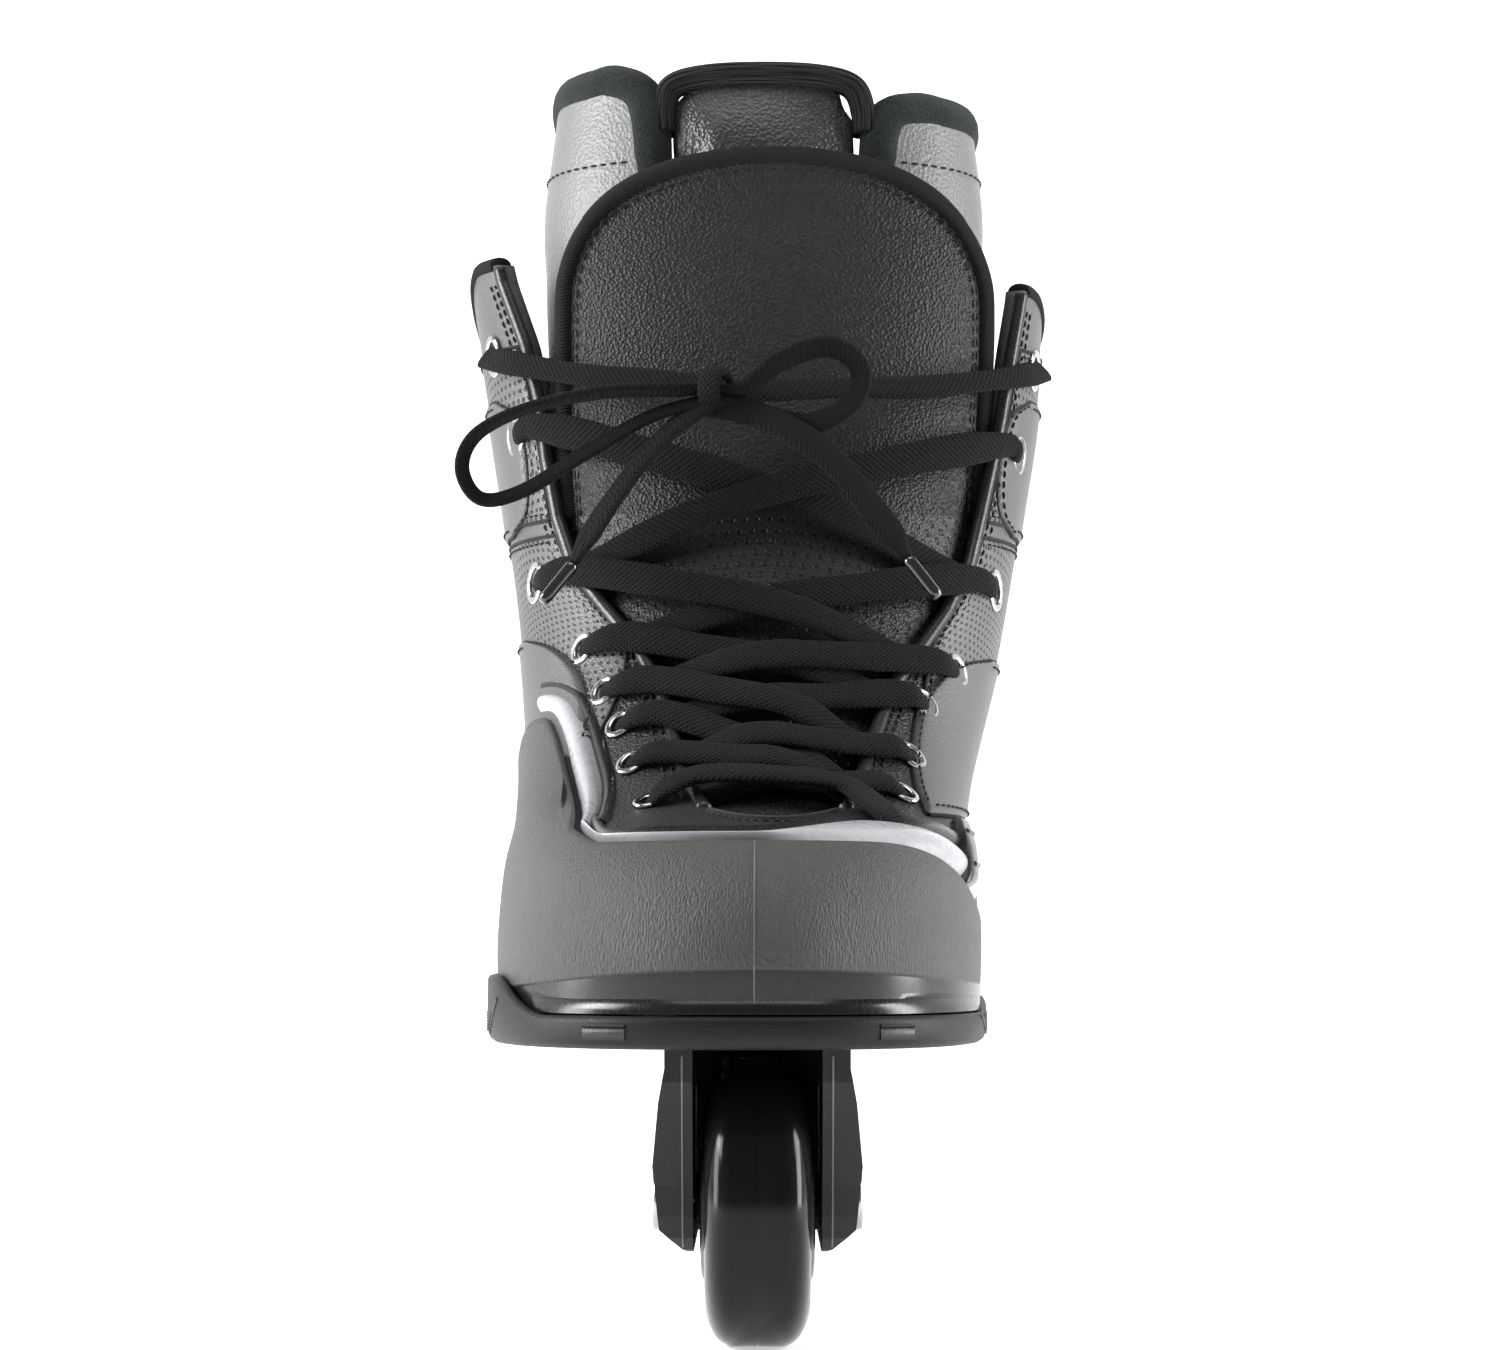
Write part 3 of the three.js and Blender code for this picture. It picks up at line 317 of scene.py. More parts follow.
def band(name, path, width, thickness, normals=None, sides=12, square=3.0, closed=False, **options):
    """A strip of rounded section along a path. Width and thickness are numbers or one value per point."""
    path = np.asarray(path, float)
    _, side, up = frames_along(path, normals)
    w = np.broadcast_to(width, len(path))[:, None, None] / 2
    h = np.broadcast_to(thickness, len(path))[:, None, None] / 2
    turn = np.linspace(0, 2 * np.pi, sides, endpoint=False)
    cx = (np.sign(np.cos(turn)) * np.abs(np.cos(turn)) ** (2 / square))[None, :, None]
    cy = (np.sign(np.sin(turn)) * np.abs(np.sin(turn)) ** (2 / 2.2))[None, :, None]
    points = path[:, None] + side[:, None] * cx * w + up[:, None] * cy * h
    if closed:
        points = np.concatenate([points, points[:1]])
    obj = grid(name, points, wrap=True, caps=not closed, **options)
    return weld(obj, 0.001) if closed else weld(obj, 0.0001)


def turned(name, profile, centre, segments=96, **options):
    """A turned solid about the X axis through a centre. Its (radius, along) profile closes on itself."""
    profile = np.asarray(profile, float)
    turn = np.linspace(0, 2 * np.pi, segments, endpoint=False)
    radius, along = profile[:, 0][:, None], profile[:, 1][:, None]
    flat = np.zeros((len(profile), segments, 3))
    flat[..., 0] = along
    flat[..., 1], flat[..., 2] = radius * np.cos(turn), radius * np.sin(turn)
    points = flat + np.asarray(centre, float)
    points = np.concatenate([points, points[:1]])
    return weld(grid(name, points, wrap=True, **options), 0.001)


def stitches(name, path, normals, material, pitch=2.6, length=1.9, width=0.55, body="boot"):
    """Small raised stitches in a row along a path that lies on a face."""
    path, normals = np.asarray(path, float), np.asarray(normals, float)
    steps = np.r_[0, np.cumsum(np.linalg.norm(np.diff(path, axis=0), axis=1))]
    at = np.arange(pitch / 2, steps[-1], pitch)
    verts, faces = [], []
    for start in at:
        ends = [np.clip(start + d, 0, steps[-1]) for d in np.linspace(-length / 2, length / 2, 5)]
        mid = np.array([[np.interp(e, steps, path[:, k]) for k in range(3)] for e in ends])
        up = np.array([np.interp(start, steps, normals[:, k]) for k in range(3)])
        up /= np.linalg.norm(up)
        along = mid[-1] - mid[0]
        along /= max(np.linalg.norm(along), 1e-6)
        side = np.cross(along, up)
        base = len(verts)
        for j, swell in enumerate((0.35, 0.9, 1.0, 0.9, 0.35)):
            centre = mid[j] + up * (0.3 * swell - 0.1)
            for k in range(6):
                a = 2 * math.pi * k / 6
                verts.append(centre + (side * math.cos(a) + up * math.sin(a)) * width / 2 * swell)
        faces += grid_faces(5, 6, True, base)
        faces += [tuple(range(base, base + 6))[::-1], tuple(range(base + 24, base + 30))]
    return new_object(name, verts, faces, None, material=material, body=body)


def lifted(z, angle, lift, table=BOOT):
    """Points on a form, and the normals there."""
    points = inset(table, z, angle, -np.asarray(lift, float) * np.ones_like(np.asarray(z, float)))
    normals = points - inset(table, z, angle, 3.0 * np.ones_like(np.asarray(z, float)))
    return points, normals / np.linalg.norm(normals, axis=-1, keepdims=True)


# ---------------------------------------------------------------- materials

class Nodes:
    """A small builder for one material's nodes."""

    def __init__(self, name):
        self.material = bpy.data.materials.new(name)
        self.material.use_nodes = True
        self.tree = self.material.node_tree
        self.shader = self.tree.nodes["Principled BSDF"]
        self.coords = self.tree.nodes.new("ShaderNodeTexCoord")

    def add(self, kind, **values):
        node = self.tree.nodes.new(kind)
        for key, value in values.items():
            if hasattr(node, key):
                setattr(node, key, value)
            else:
                node.inputs[key].default_value = value
        return node

    def link(self, source, target):
        self.tree.links.new(source, target)

    def math(self, operation, a, b=None):
        node = self.add("ShaderNodeMath", operation=operation)
        for socket, value in zip(node.inputs, (a, b)):
            if value is None:
                continue
            if isinstance(value, (int, float)):
                socket.default_value = value
            else:
                self.link(value, socket)
        return node.outputs[0]

    def place(self, scale, source="Object"):
        mapping = self.add("ShaderNodeMapping")
        mapping.inputs["Scale"].default_value = scale if isinstance(scale, tuple) else (scale,) * 3
        self.link(self.coords.outputs[source], mapping.inputs["Vector"])
        return mapping.outputs[0]

    def noise(self, scale, detail=3.0):
        node = self.add("ShaderNodeTexNoise", Scale=1.0, Detail=detail)
        self.link(self.place(scale), node.inputs["Vector"])
        return node.outputs[0]

    def cells(self, scale):
        node = self.add("ShaderNodeTexVoronoi", feature="F1", Scale=1.0)
        self.link(self.place(scale), node.inputs["Vector"])
        return node.outputs["Distance"]

    def ramp(self, source, low, high):
        node = self.add("ShaderNodeMapRange")
        self.link(source, node.inputs["Value"])
        node.inputs["From Min"].default_value, node.inputs["From Max"].default_value = low
        node.inputs["To Min"].default_value, node.inputs["To Max"].default_value = high
        return node.outputs[0]

    def tint(self, share, first, second):
        node = self.add("ShaderNodeMix", data_type="RGBA")
        self.link(share, node.inputs[0])
        node.inputs[6].default_value = (*first, 1)
        node.inputs[7].default_value = (*second, 1)
        return node.outputs[2]

    def bump(self, height, distance, strength=1.0):
        node = self.add("ShaderNodeBump", Strength=strength, Distance=distance)
        self.link(height, node.inputs["Height"])
        self.link(node.outputs[0], self.shader.inputs["Normal"])

    def set(self, **values):
        for key, value in values.items():
            self.shader.inputs[key.replace("_", " ")].default_value = value


def leather(name, colour, roughness=0.45, grain=0.9, depth=0.00022, dots=0.0, coat=0.0, specular=0.5):
    """Pebbled leather; dots is the pitch of its perforations in millimetres, and their holes are painted
    near-black as painted shade.
    """
    n = Nodes(name)
    pebble = n.cells(1 / (grain * MM))
    fine = n.noise(1 / (0.35 * MM), 2.0)
    large = n.noise(1 / (60 * MM), 1.0)
    height = n.math("ADD", n.math("MULTIPLY", pebble, 0.8), n.math("MULTIPLY", fine, 0.25))
    dark = tuple(c * 0.86 for c in colour)
    light = tuple(min(c * 1.12 + 0.001, 1) for c in colour)
    base = n.tint(n.ramp(n.math("ADD", large, n.math("MULTIPLY", pebble, 0.25)), (0.35, 0.85), (0, 1)),
                  dark, light)
    if dots:
        uv = n.add("ShaderNodeSeparateXYZ")
        n.link(n.place(1 / dots, "UV"), uv.inputs[0])
        row = n.math("FLOOR", uv.outputs[1])
        odd = n.math("MULTIPLY", n.math("MODULO", n.math("ABSOLUTE", row), 2.0), 0.5)
        du = n.math("SUBTRACT", n.math("FRACT", n.math("ADD", uv.outputs[0], odd)), 0.5)
        dv = n.math("SUBTRACT", n.math("FRACT", uv.outputs[1]), 0.5)
        away = n.math("SQRT", n.math("ADD", n.math("MULTIPLY", du, du), n.math("MULTIPLY", dv, dv)))
        shaded_hole = n.ramp(away, (0.17, 0.25), (1, 0))
        mixer = n.add("ShaderNodeMix", data_type="RGBA")
        n.link(shaded_hole, mixer.inputs[0])
        n.link(base, mixer.inputs[6])
        # The holes' colour is near-black: painted shade inside the perforations.
        mixer.inputs[7].default_value = (0.004, 0.004, 0.004, 1)
        base = mixer.outputs[2]
        height = n.math("SUBTRACT", height, n.math("MULTIPLY", shaded_hole, 3.0))
    n.link(base, n.shader.inputs["Base Color"])
    n.link(n.ramp(fine, (0.3, 0.7), (roughness - 0.06, roughness + 0.08)), n.shader.inputs["Roughness"])
    n.bump(height, depth)
    n.set(Coat_Weight=coat, Coat_Roughness=0.3, Specular_IOR_Level=specular)
    return n.material


def plastic(name, colour, roughness=0.5, grain=0.5, depth=0.00008, stretch=(1, 1, 1), coat=0.0, specular=0.5,
            band=None):
    """Moulded plastic; band is the height, in metres, of a polished dark strip round its foot at the toe."""
    n = Nodes(name)
    scale = tuple(s / (grain * MM) for s in stretch)
    texture = n.noise(scale, 3.0)
    large = n.noise(1 / (40 * MM), 2.0)
    dark = tuple(c * 0.86 for c in colour)
    light = tuple(min(c * 1.12, 1) for c in colour)
    base = n.tint(n.ramp(n.math("ADD", large, n.math("MULTIPLY", texture, 0.4)), (0.45, 0.95), (0, 1)),
                  dark, light)
    rough = n.ramp(texture, (0.3, 0.7), (max(roughness - 0.07, 0.04), roughness + 0.07))
    if band:
        place = n.add("ShaderNodeSeparateXYZ")
        n.link(n.coords.outputs["Object"], place.inputs[0])
        bow = n.math("MULTIPLY", n.math("MULTIPLY", place.outputs[0], place.outputs[0]), 1.5)
        polished = n.ramp(n.math("ADD", place.outputs[2], bow), (band - 0.0003, band + 0.0003), (1, 0))
        polished = n.math("MULTIPLY", polished, n.ramp(place.outputs[1], (-0.07, -0.05), (1, 0)))
        mixer = n.add("ShaderNodeMix", data_type="RGBA")
        n.link(polished, mixer.inputs[0])
        n.link(base, mixer.inputs[6])
        mixer.inputs[7].default_value = (0.009, 0.009, 0.009, 1)
        base = mixer.outputs[2]
        rough = n.math("SUBTRACT", rough, n.math("MULTIPLY", polished, roughness - 0.24))
        texture = n.math("MULTIPLY", texture, n.math("SUBTRACT", 1.0, polished))
    n.link(base, n.shader.inputs["Base Color"])
    n.link(rough, n.shader.inputs["Roughness"])
    n.bump(texture, depth)
    n.set(Coat_Weight=coat, Coat_Roughness=0.12, Specular_IOR_Level=specular)
    return n.material


def woven(name, colour, pitch, depth=0.00035, sheen=0.15):
    """A braid or rib: two crossing sets of slanted threads in the piece's own UVs, painted lighter on the
    crests and darker in the grooves as painted highlight and shade.
    """
    n = Nodes(name)
    uv = n.add("ShaderNodeSeparateXYZ")
    n.link(n.place(1.0, "UV"), uv.inputs[0])
    across = n.math("MULTIPLY", uv.outputs[0], 2 * math.pi / pitch[0])
    along = n.math("MULTIPLY", uv.outputs[1], 2 * math.pi / pitch[1])
    one = n.math("SINE", n.math("ADD", across, along))
    two = n.math("SINE", n.math("SUBTRACT", across, along))
    thread = n.math("MAXIMUM", one, two)
    fuzz = n.noise(1 / (0.25 * MM), 3.0)
    height = n.math("ADD", thread, n.math("MULTIPLY", fuzz, 0.9))
    # The colour follows the threads' height: crests painted lighter and the grooves between threads painted
    # darker, a painted highlight and painted shade, with tone from the fuzz that differs at random.
    dark = tuple(c * 0.55 for c in colour)
    light = tuple(min(c * 2.0 + 0.002, 1) for c in colour)
    n.link(n.tint(n.ramp(height, (-0.2, 1.7), (0, 1)), dark, light), n.shader.inputs["Base Color"])
    n.bump(height, depth, 0.8)
    n.set(Roughness=0.92, Sheen_Weight=sheen, Sheen_Roughness=0.5, Specular_IOR_Level=0.2)
    return n.material


def velour(name, colour):
    n = Nodes(name)
    pile = n.noise(1 / (0.45 * MM), 4.0)
    patch = n.noise(1 / (9 * MM), 3.0)
    dark = tuple(c * 0.5 for c in colour)
    light = tuple(c * 1.7 for c in colour)
    n.link(n.tint(n.ramp(n.math("ADD", pile, n.math("MULTIPLY", patch, 0.8)), (0.6, 1.2), (0, 1)), dark,
                  light),
           n.shader.inputs["Base Color"])
    n.bump(pile, 0.0006)
    n.set(Roughness=0.98, Sheen_Weight=0.12, Sheen_Roughness=0.45, Specular_IOR_Level=0.2)
    return n.material


def metal(name, colour, roughness=0.25):
    n = Nodes(name)
    scratch = n.noise((1 / (3 * MM), 1 / (0.2 * MM), 1 / (0.2 * MM)), 2.0)
    n.link(n.ramp(scratch, (0.3, 0.7), (max(roughness - 0.1, 0.04), roughness + 0.1)),
           n.shader.inputs["Roughness"])
    n.link(n.tint(scratch, tuple(c * 0.85 for c in colour), colour), n.shader.inputs["Base Color"])
    n.set(Metallic=1.0)
    return n.material


def urethane(name):
    n = Nodes(name)
    cloud = n.noise(1 / (14 * MM), 3.0)
    n.link(n.tint(cloud, (0.004, 0.004, 0.0045), (0.009, 0.0085, 0.0085)), n.shader.inputs["Base Color"])
    n.link(n.ramp(n.noise(1 / (2.5 * MM), 3.0), (0.3, 0.7), (0.1, 0.2)), n.shader.inputs["Roughness"])
    n.bump(n.noise(1 / (5 * MM), 2.0), 0.00004)
    n.set(Specular_IOR_Level=0.17)
    return n.material


SHELL = plastic("shell_plastic", (0.06, 0.06, 0.058), 0.5, 0.6, 0.0006, (1.5, 1.5, 0.45), specular=0.4,
                band=0.0786)
RIM_PLASTIC = plastic("rim_plastic", (0.016, 0.016, 0.017), 0.3, 0.8, 0.00004, specular=0.4)
STRIPE = plastic("stripe_plastic", (0.40, 0.408, 0.43), 0.3, 2.0, 0.00002, coat=0.2)
PLATE = plastic("plate_plastic", (0.009, 0.0087, 0.008), 0.5, 0.45, 0.00012, specular=0.24)
FRAME_NYLON = plastic("frame_nylon", (0.017, 0.0155, 0.0142), 0.55, 0.4, 0.00012, specular=0.3)
VAMP = leather("vamp_leather", (0.022, 0.022, 0.021), 0.38, 0.8, 0.0004, specular=0.35)
GREY = leather("smooth_grey_leather", (0.078, 0.08, 0.077), 0.38, 0.5, 0.00015)
PERFORATED = leather("perforated_leather", (0.088, 0.09, 0.087), 0.4, 0.6, 0.00015, dots=2.4)
TONGUE = leather("tongue_leather", (0.009, 0.009, 0.0095), 0.46, 0.75, 0.00035, specular=0.3)
TONGUE_DOTS = leather("tongue_perforated", (0.013, 0.013, 0.0135), 0.44, 0.7, 0.00022, dots=3.0,
                      specular=0.35)
LINER_BLACK = leather("liner_gloss_leather", (0.022, 0.022, 0.024), 0.28, 0.9, 0.0003, coat=0.3)
LINER_GREY = leather("liner_grey_leather", (0.14, 0.143, 0.14), 0.4, 0.9, 0.0002)
LINING = velour("lining_velour", (0.012, 0.016, 0.013))
LACE = woven("lace_cotton", (0.0026, 0.003, 0.0029), (1.1, 1.5), sheen=0.015)
BINDING = woven("ribbed_binding", (0.0075, 0.0075, 0.008), (9.0, 0.8), 0.0003, 0.02)
KNIT = woven("ribbed_knit", (0.006, 0.006, 0.0065), (1.4, 30.0), 0.0005, 0.05)
THREAD = woven("black_thread", (0.006, 0.006, 0.006), (0.5, 0.5), 0.0001)
FOAM = velour("footbed_felt", (0.03, 0.03, 0.034))
STEEL = metal("bolt_steel", (0.5, 0.5, 0.51), 0.28)
EYELET_METAL = metal("eyelet_metal", (0.72, 0.72, 0.72), 0.14)
COPPERY = metal("bearing_metal", (0.62, 0.5, 0.46), 0.2)
SEAL = plastic("bearing_seal", (0.012, 0.012, 0.012), 0.45, 0.6)
URETHANE = urethane("black_urethane")
CORE = plastic("wheel_core_plastic", (0.014, 0.014, 0.014), 0.35, 0.6)
AGLET = plastic("aglet_plastic", (0.01, 0.01, 0.01), 0.08, 2.0, 0.00001, coat=1.0)
# Light grey on the thin ridges of the mould's parting lines: a painted highlight along them.
PARTING_HIGHLIGHT = plastic("parting_line_highlight", (0.13, 0.13, 0.13), 0.4, 0.6, 0.00002)

# ---------------------------------------------------------------- lace: bow and free ends

# Each pair from the toe up: heights and X of the lateral and medial eyelet.
EYELETS = [
    ((114.5, 108.0), (-24.0, 30.5)),
    ((124.0, 117.0), (-28.5, 32.5)),
    ((133.5, 126.0), (-31.5, 35.0)),
    ((142.0, 139.0), (-35.6, 38.8)),
    ((153.0, 148.0), (-41.0, 47.0)),
    ((171.0, 169.5), (-53.5, 57.5)),
    ((208.0, 204.0), (-59.0, 64.0)),
    ((229.0, 226.0), (-65.0, 68.5)),
]
BOW_WIDTH = 6.6
BOW_THICKNESS = 2.2
# Points are (X, Y, Z), except that "band" gives (X, Z, lift) on the boot.
BOW = {
    "lateral": {
        "band": [(-65, 229, 2.6), (-56, 225, 3.4), (-38, 219.5, 5), (-22, 216.5, 6.5)],
        "loop": [(-18, -23, 214), (-36, -26, 213), (-54, -27, 209), (-66, -26, 203), (-69.5, -25, 195),
                 (-65, -24, 188), (-55, -24, 190), (-40, -25, 199), (-24, -24, 208)],
        "end": [(-14, -25, 209), (-24, -29, 200), (-33, -32, 188), (-40, -33, 177), (-42.5, -33.5, 172)],
        "knot": ((-10, -18, 215.5), (-8, -23, 212)),
        "tip": (-0.62, -0.1, -0.78),
    },
    "medial": {
        "band": [(68.5, 226, 2.6), (60, 222, 3.6), (38, 216.5, 5), (14, 214.5, 6.5)],
        "loop": [(-3, -25, 214), (6, -30, 220), (17, -31, 223), (24, -30, 218), (22, -29, 210),
                 (12, -28, 205), (2, -26, 207)],
        "end": [(-1, -26, 208), (10, -31, 202), (20, -34, 193), (29, -36, 181), (34.5, -37, 173)],
        "knot": ((-7.5, -20, 214), (-10.5, -24.5, 210)),
        "tip": (0.6, -0.1, -0.79),
    },
}
AGLET_LENGTH = 12.0


def add_aglet(side, tip):
    along = np.array(BOW[side]["tip"])
    along /= np.linalg.norm(along)
    path = tip + along * np.linspace(0.3, AGLET_LENGTH, 12)[:, None]
    width = np.full(12, 3.0)
    width[[0, -1]] = 2.4
    obj = band(f"aglet_{side}_tube", path, width, width * 0.9, sides=16, square=2.2, material=AGLET,
               slot="aglet")
    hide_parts(f"aglet_{side}")
    return obj


def add_bow_cord(side):
    """From the top eyelet to the knot, round the loop, through the knot again and down to the aglet."""
    facts = BOW[side]
    start = [on_boot(x, z, lift) for x, z, lift in facts["band"]]
    first, second = facts["knot"]
    route = [*start, first, *facts["loop"], second, *facts["end"]]
    path = resample(route, 260)
    wave = np.sin(np.linspace(0, 23, 260)) * 0.35
    width = BOW_WIDTH * (1 + 0.07 * np.sin(np.linspace(0, 40, 260)))
    width[-8:] = np.linspace(width[-9], 2.8, 8)
    obj = band(f"lace_bow_{side}", path, width, BOW_THICKNESS + 0.3 * wave, sides=14, material=LACE,
               slot="lace_cotton")
    tube = add_aglet(side, path[-1])
    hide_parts("lace_bow")
    return obj


for bow_side in BOW:
    add_bow_cord(bow_side)


def add_knot():
    """The wrap that holds the bow together."""
    turn = np.linspace(0, 2 * np.pi, 40, endpoint=False)
    path = np.stack([KNOT[0] + 2.2 * np.cos(turn) * 0.9, KNOT[1] - 1 + 5.0 * np.cos(turn),
                     KNOT[2] - 0.5 + 5.2 * np.sin(turn)], -1)
    normals = path - np.asarray(KNOT)
    normals /= np.linalg.norm(normals, axis=1, keepdims=True)
    band("lace_knot_wrap", path, 5.6, 2.0, normals, closed=True, material=LACE, slot="lace_cotton")


add_knot()

# ---------------------------------------------------------------- lace rows

THROAT_LATERAL = np.array([(3.5, 110.2), (-11, 113), (-16, 121), (-22, 142), (-28.5, 154), (-36.5, 163.5),
                           (-44, 173), (-48.5, 186), (-51.5, 201), (-53, 214), (-57, 230), (-63, 246),
                           (-67, 262)])
THROAT_MEDIAL = np.array([(3.5, 110.2), (18, 112), (22.4, 118), (25.5, 128), (31, 142.5), (37, 151),
                          (45, 162),
                          (51.5, 175), (54.5, 187), (57.5, 200), (60, 212), (62.5, 226), (65.5, 242),
                          (68, 262)])
ROW_WIDTH = 8.0
ROW_THICKNESS = 2.6


def throat_x(side, z):
    edge = THROAT_MEDIAL if side else THROAT_LATERAL
    return np.interp(z, edge[:, 1], edge[:, 0])


def path_normals(xs, zs):
    low = on_boot(xs, zs, 0.0)
    high = on_boot(xs, zs, 3.0)
    normals = high - low
    return normals / np.linalg.norm(normals, axis=1, keepdims=True)


def lace_strip(name, points):
    """A flat lace through (X, Z, lift) points on the boot, narrow where it enters an eyelet."""
    dense = resample(points, 64)
    path = on_boot(dense[:, 0], dense[:, 1], 0.0)
    normals = path_normals(dense[:, 0], dense[:, 1])
    path = path + normals * dense[:, 2:3]
    share = np.linspace(0, 1, 64)
    wave = np.sin(share * 21 + points[0][1]) + 0.5 * np.sin(share * 47)
    width = ROW_WIDTH * mix(1, 0.62, smooth(0.86, 1.0, share)) * (1 + 0.035 * wave)
    thickness = ROW_THICKNESS * mix(1, 1.2, smooth(0.86, 1.0, share)) * (1 - 0.05 * wave)
    strip = band(name, path, width, thickness, normals, sides=16, square=2.6, material=LACE,
                 slot="lace_cotton")
    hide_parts("lace_rows")


def add_lace_rows():
    z, x = EYELETS[0]
    lift = 2.6
    lace_strip("lace_row_bar", [(x[0], z[0], -0.6), (x[0] + 3.5, z[0] + 0.6, lift), (-12, 117.5, lift + 1.5),
                                (3, 116.8, lift + 2), (18, 115.2, lift + 1.5), (x[1] - 4, z[1] + 1.8, lift),
                                (x[1], z[1], -0.6)])
    for i in range(6):
        for side in (0, 1):
            to = 1 - side
            (z0, x0), (z1, x1) = EYELETS[i], EYELETS[i + 1]
            start_z = max(z0[side] + 2.5, 117.0)
            edge_x, end_edge = throat_x(side, start_z), throat_x(to, z1[to])
            out = -1 if side == 0 else 1
            over = (i + side) % 2
            rise = 3.2 if over else 1.4
            points = [(edge_x + out * 3.0, start_z - 0.5, -3.2), (edge_x - out * 3.0, start_z + 0.6, -1.6)]
            for share in (0.3, 0.5, 0.7):
                px = mix(edge_x, end_edge, share)
                pz = mix(start_z, z1[to], share) + 9.0 * share * (1 - share)
                points.append((px, pz, -2.2 + rise * 1.4 * math.sin(math.pi * share) + 1.0))
            points += [(end_edge, z1[to] + 1.2, 1.9), (mix(end_edge, x1[to], 0.6), z1[to] + 0.7, 2.3),
                       (x1[to], z1[to], -0.4)]
            lace_strip(f"lace_row_{i + 1}_{'medial' if side else 'lateral'}", points)


add_lace_rows()

# ---------------------------------------------------------------- wheels

def add_wheel(number, y):
    body, centre = f"wheel_{number}", (0, y, WHEEL_RADIUS)
    shoulder = [(WHEEL_RADIUS - 9.5 * (1 - math.cos(a)), 5 + 6 * math.sin(a))
                for a in np.linspace(0.08, math.pi / 2, 14)]
    tread = [(WHEEL_RADIUS, 4.6), (WHEEL_RADIUS, 0.35), (WHEEL_RADIUS - 0.16, 0.12)]
    right = [(19.2, 10.2), (20.0, 10.9), *reversed(shoulder), *tread]
    left = [(r, -x) for r, x in reversed(right)]
    tyre = turned(f"tyre_{number}", right + left, centre, 128, material=URETHANE, body=body, slot="urethane")
    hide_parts(f"wheel_{number}_tyre")
    half = [(18.8, 9.6), (18.4, 10.4), (15.2, 11.6), (13.2, 11.8), (11.4, 11.6), (11.25, 11.0), (11.25, 4.8),
            (8.6, 4.8)]
    core = turned(f"core_{number}", half + [(r, -x) for r, x in reversed(half)], centre, 96, material=CORE,
                  body=body, slot="wheel_core")
    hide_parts(f"wheel_{number}_core")
    for side, sign in (("left", -1), ("right", 1)):
        def ring(inner, outer, a, b, chamfer=0.35):
            pts = [(inner, a + chamfer), (inner + chamfer, a), (outer - chamfer, a), (outer, a + chamfer),
                   (outer, b - chamfer), (outer - chamfer, b), (inner + chamfer, b), (inner, b - chamfer)]
            return [(r, sign * x) for r, x in pts]
        outer = turned(f"bearing_{number}_{side}_race", ring(9.4, 11.0, 5, 12), centre, 64, material=COPPERY,
                       body=body, slot="bearing_steel")
        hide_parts(f"bearing_{number}_{side}_outer")
        turned(f"bearing_{number}_{side}_seal", ring(6.35, 9.3, 10.9, 11.6, 0.15), centre, 64, material=SEAL,
               body=body, slot="wheel_core")
        inner = turned(f"bearing_{number}_{side}_hub", ring(4.05, 6.0, 5, 12.9), centre, 64, material=COPPERY,
                       slot="bearing_steel")
        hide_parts(f"bearing_{number}_{side}_inner")
    spacer = turned(f"spacer_{number}_tube", [(4.1, -4.7), (6, -4.7), (6, 4.7), (4.1, 4.7)], centre, 48,
                    material=STEEL, slot="bearing_steel")
    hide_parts(f"spacer_{number}")
    bolt = turned(f"axle_{number}_bolt",
                  [(0.01, -20.6), (2.6, -20.6), (2.9, -21.2), (3.0, -21.9), (5.4, -21.9), (6, -21.4),
                   (6, -19.7),
                   (3.8, -19.6), (3.8, 21.4), (3.4, 21.8), (0.01, 21.8)], centre, 48, material=STEEL,
                  slot="bolt_steel")
    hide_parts(f"axle_{number}")
    nut = turned(f"axle_{number}_nut",
                 [(4.3, 19.7), (5.6, 19.7), (6, 20.1), (6, 21.4), (5.6, 21.9), (4.3, 21.9)],
                 centre, 6 * 8, material=STEEL, slot="bolt_steel")
    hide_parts(f"axle_nut_{number}")


for wheel_number, wheel_y in enumerate(AXLE_YS, 1):
    add_wheel(wheel_number, wheel_y)


def dress(node, material):
    """A better material on a CAD node that stays as it is."""
    for slot in bpy.data.objects[node].material_slots:
        slot.material = material


for dressed, finish in (("frame_bolt_front", STEEL), ("frame_bolt_rear", STEEL), ("frame_nut_front", STEEL),
                        ("frame_nut_rear", STEEL), ("heel_shock_pad", FOAM)):
    dress(dressed, finish)


def first_hit(tree, start, direction):
    hit = tree.ray_cast(Vector(start) * MM, Vector(direction))[0]
    return None if hit is None else np.array(hit) / MM


def add_frame():
    """The frame's moulding with its edges rounded, and the mould's parting line up the front of each wall,
    painted light grey as a painted highlight.
    """
    source = bpy.data.objects["frame"]
    mesh = source.data.copy()
    mesh.transform(source.matrix_world)
    mesh.polygons.foreach_set("use_smooth", [True] * len(mesh.polygons))
    mesh.materials.clear()
    mesh.materials.append(FRAME_NYLON)
    obj = bpy.data.objects.new("frame_moulding", mesh)
    bpy.context.collection.objects.link(obj)
    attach(obj, "boot")
    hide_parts("frame")
    soften(obj, 0.8, 3, 28).harden_normals = True
    tree = BVHTree.FromPolygons([tuple(v.co) for v in mesh.vertices],
                                [tuple(p.vertices) for p in mesh.polygons])
    for side, x in (("lateral", -15.4), ("medial", 15.4)):
        hits = [first_hit(tree, (x, -200, z), (0, 1, 0)) for z in np.linspace(21, 61, 60)]
        path = np.array([h + (0, -0.05, 0) for h in hits if h is not None and h[1] < -100])
        if len(path) > 8:
            band(f"frame_parting_{side}", path, 0.4, 0.3, np.tile([0.0, -1.0, 0.0], (len(path), 1)), sides=8,
                 material=PARTING_HIGHLIGHT, slot="frame")


add_frame()

# ---------------------------------------------------------------- soul plate and shell

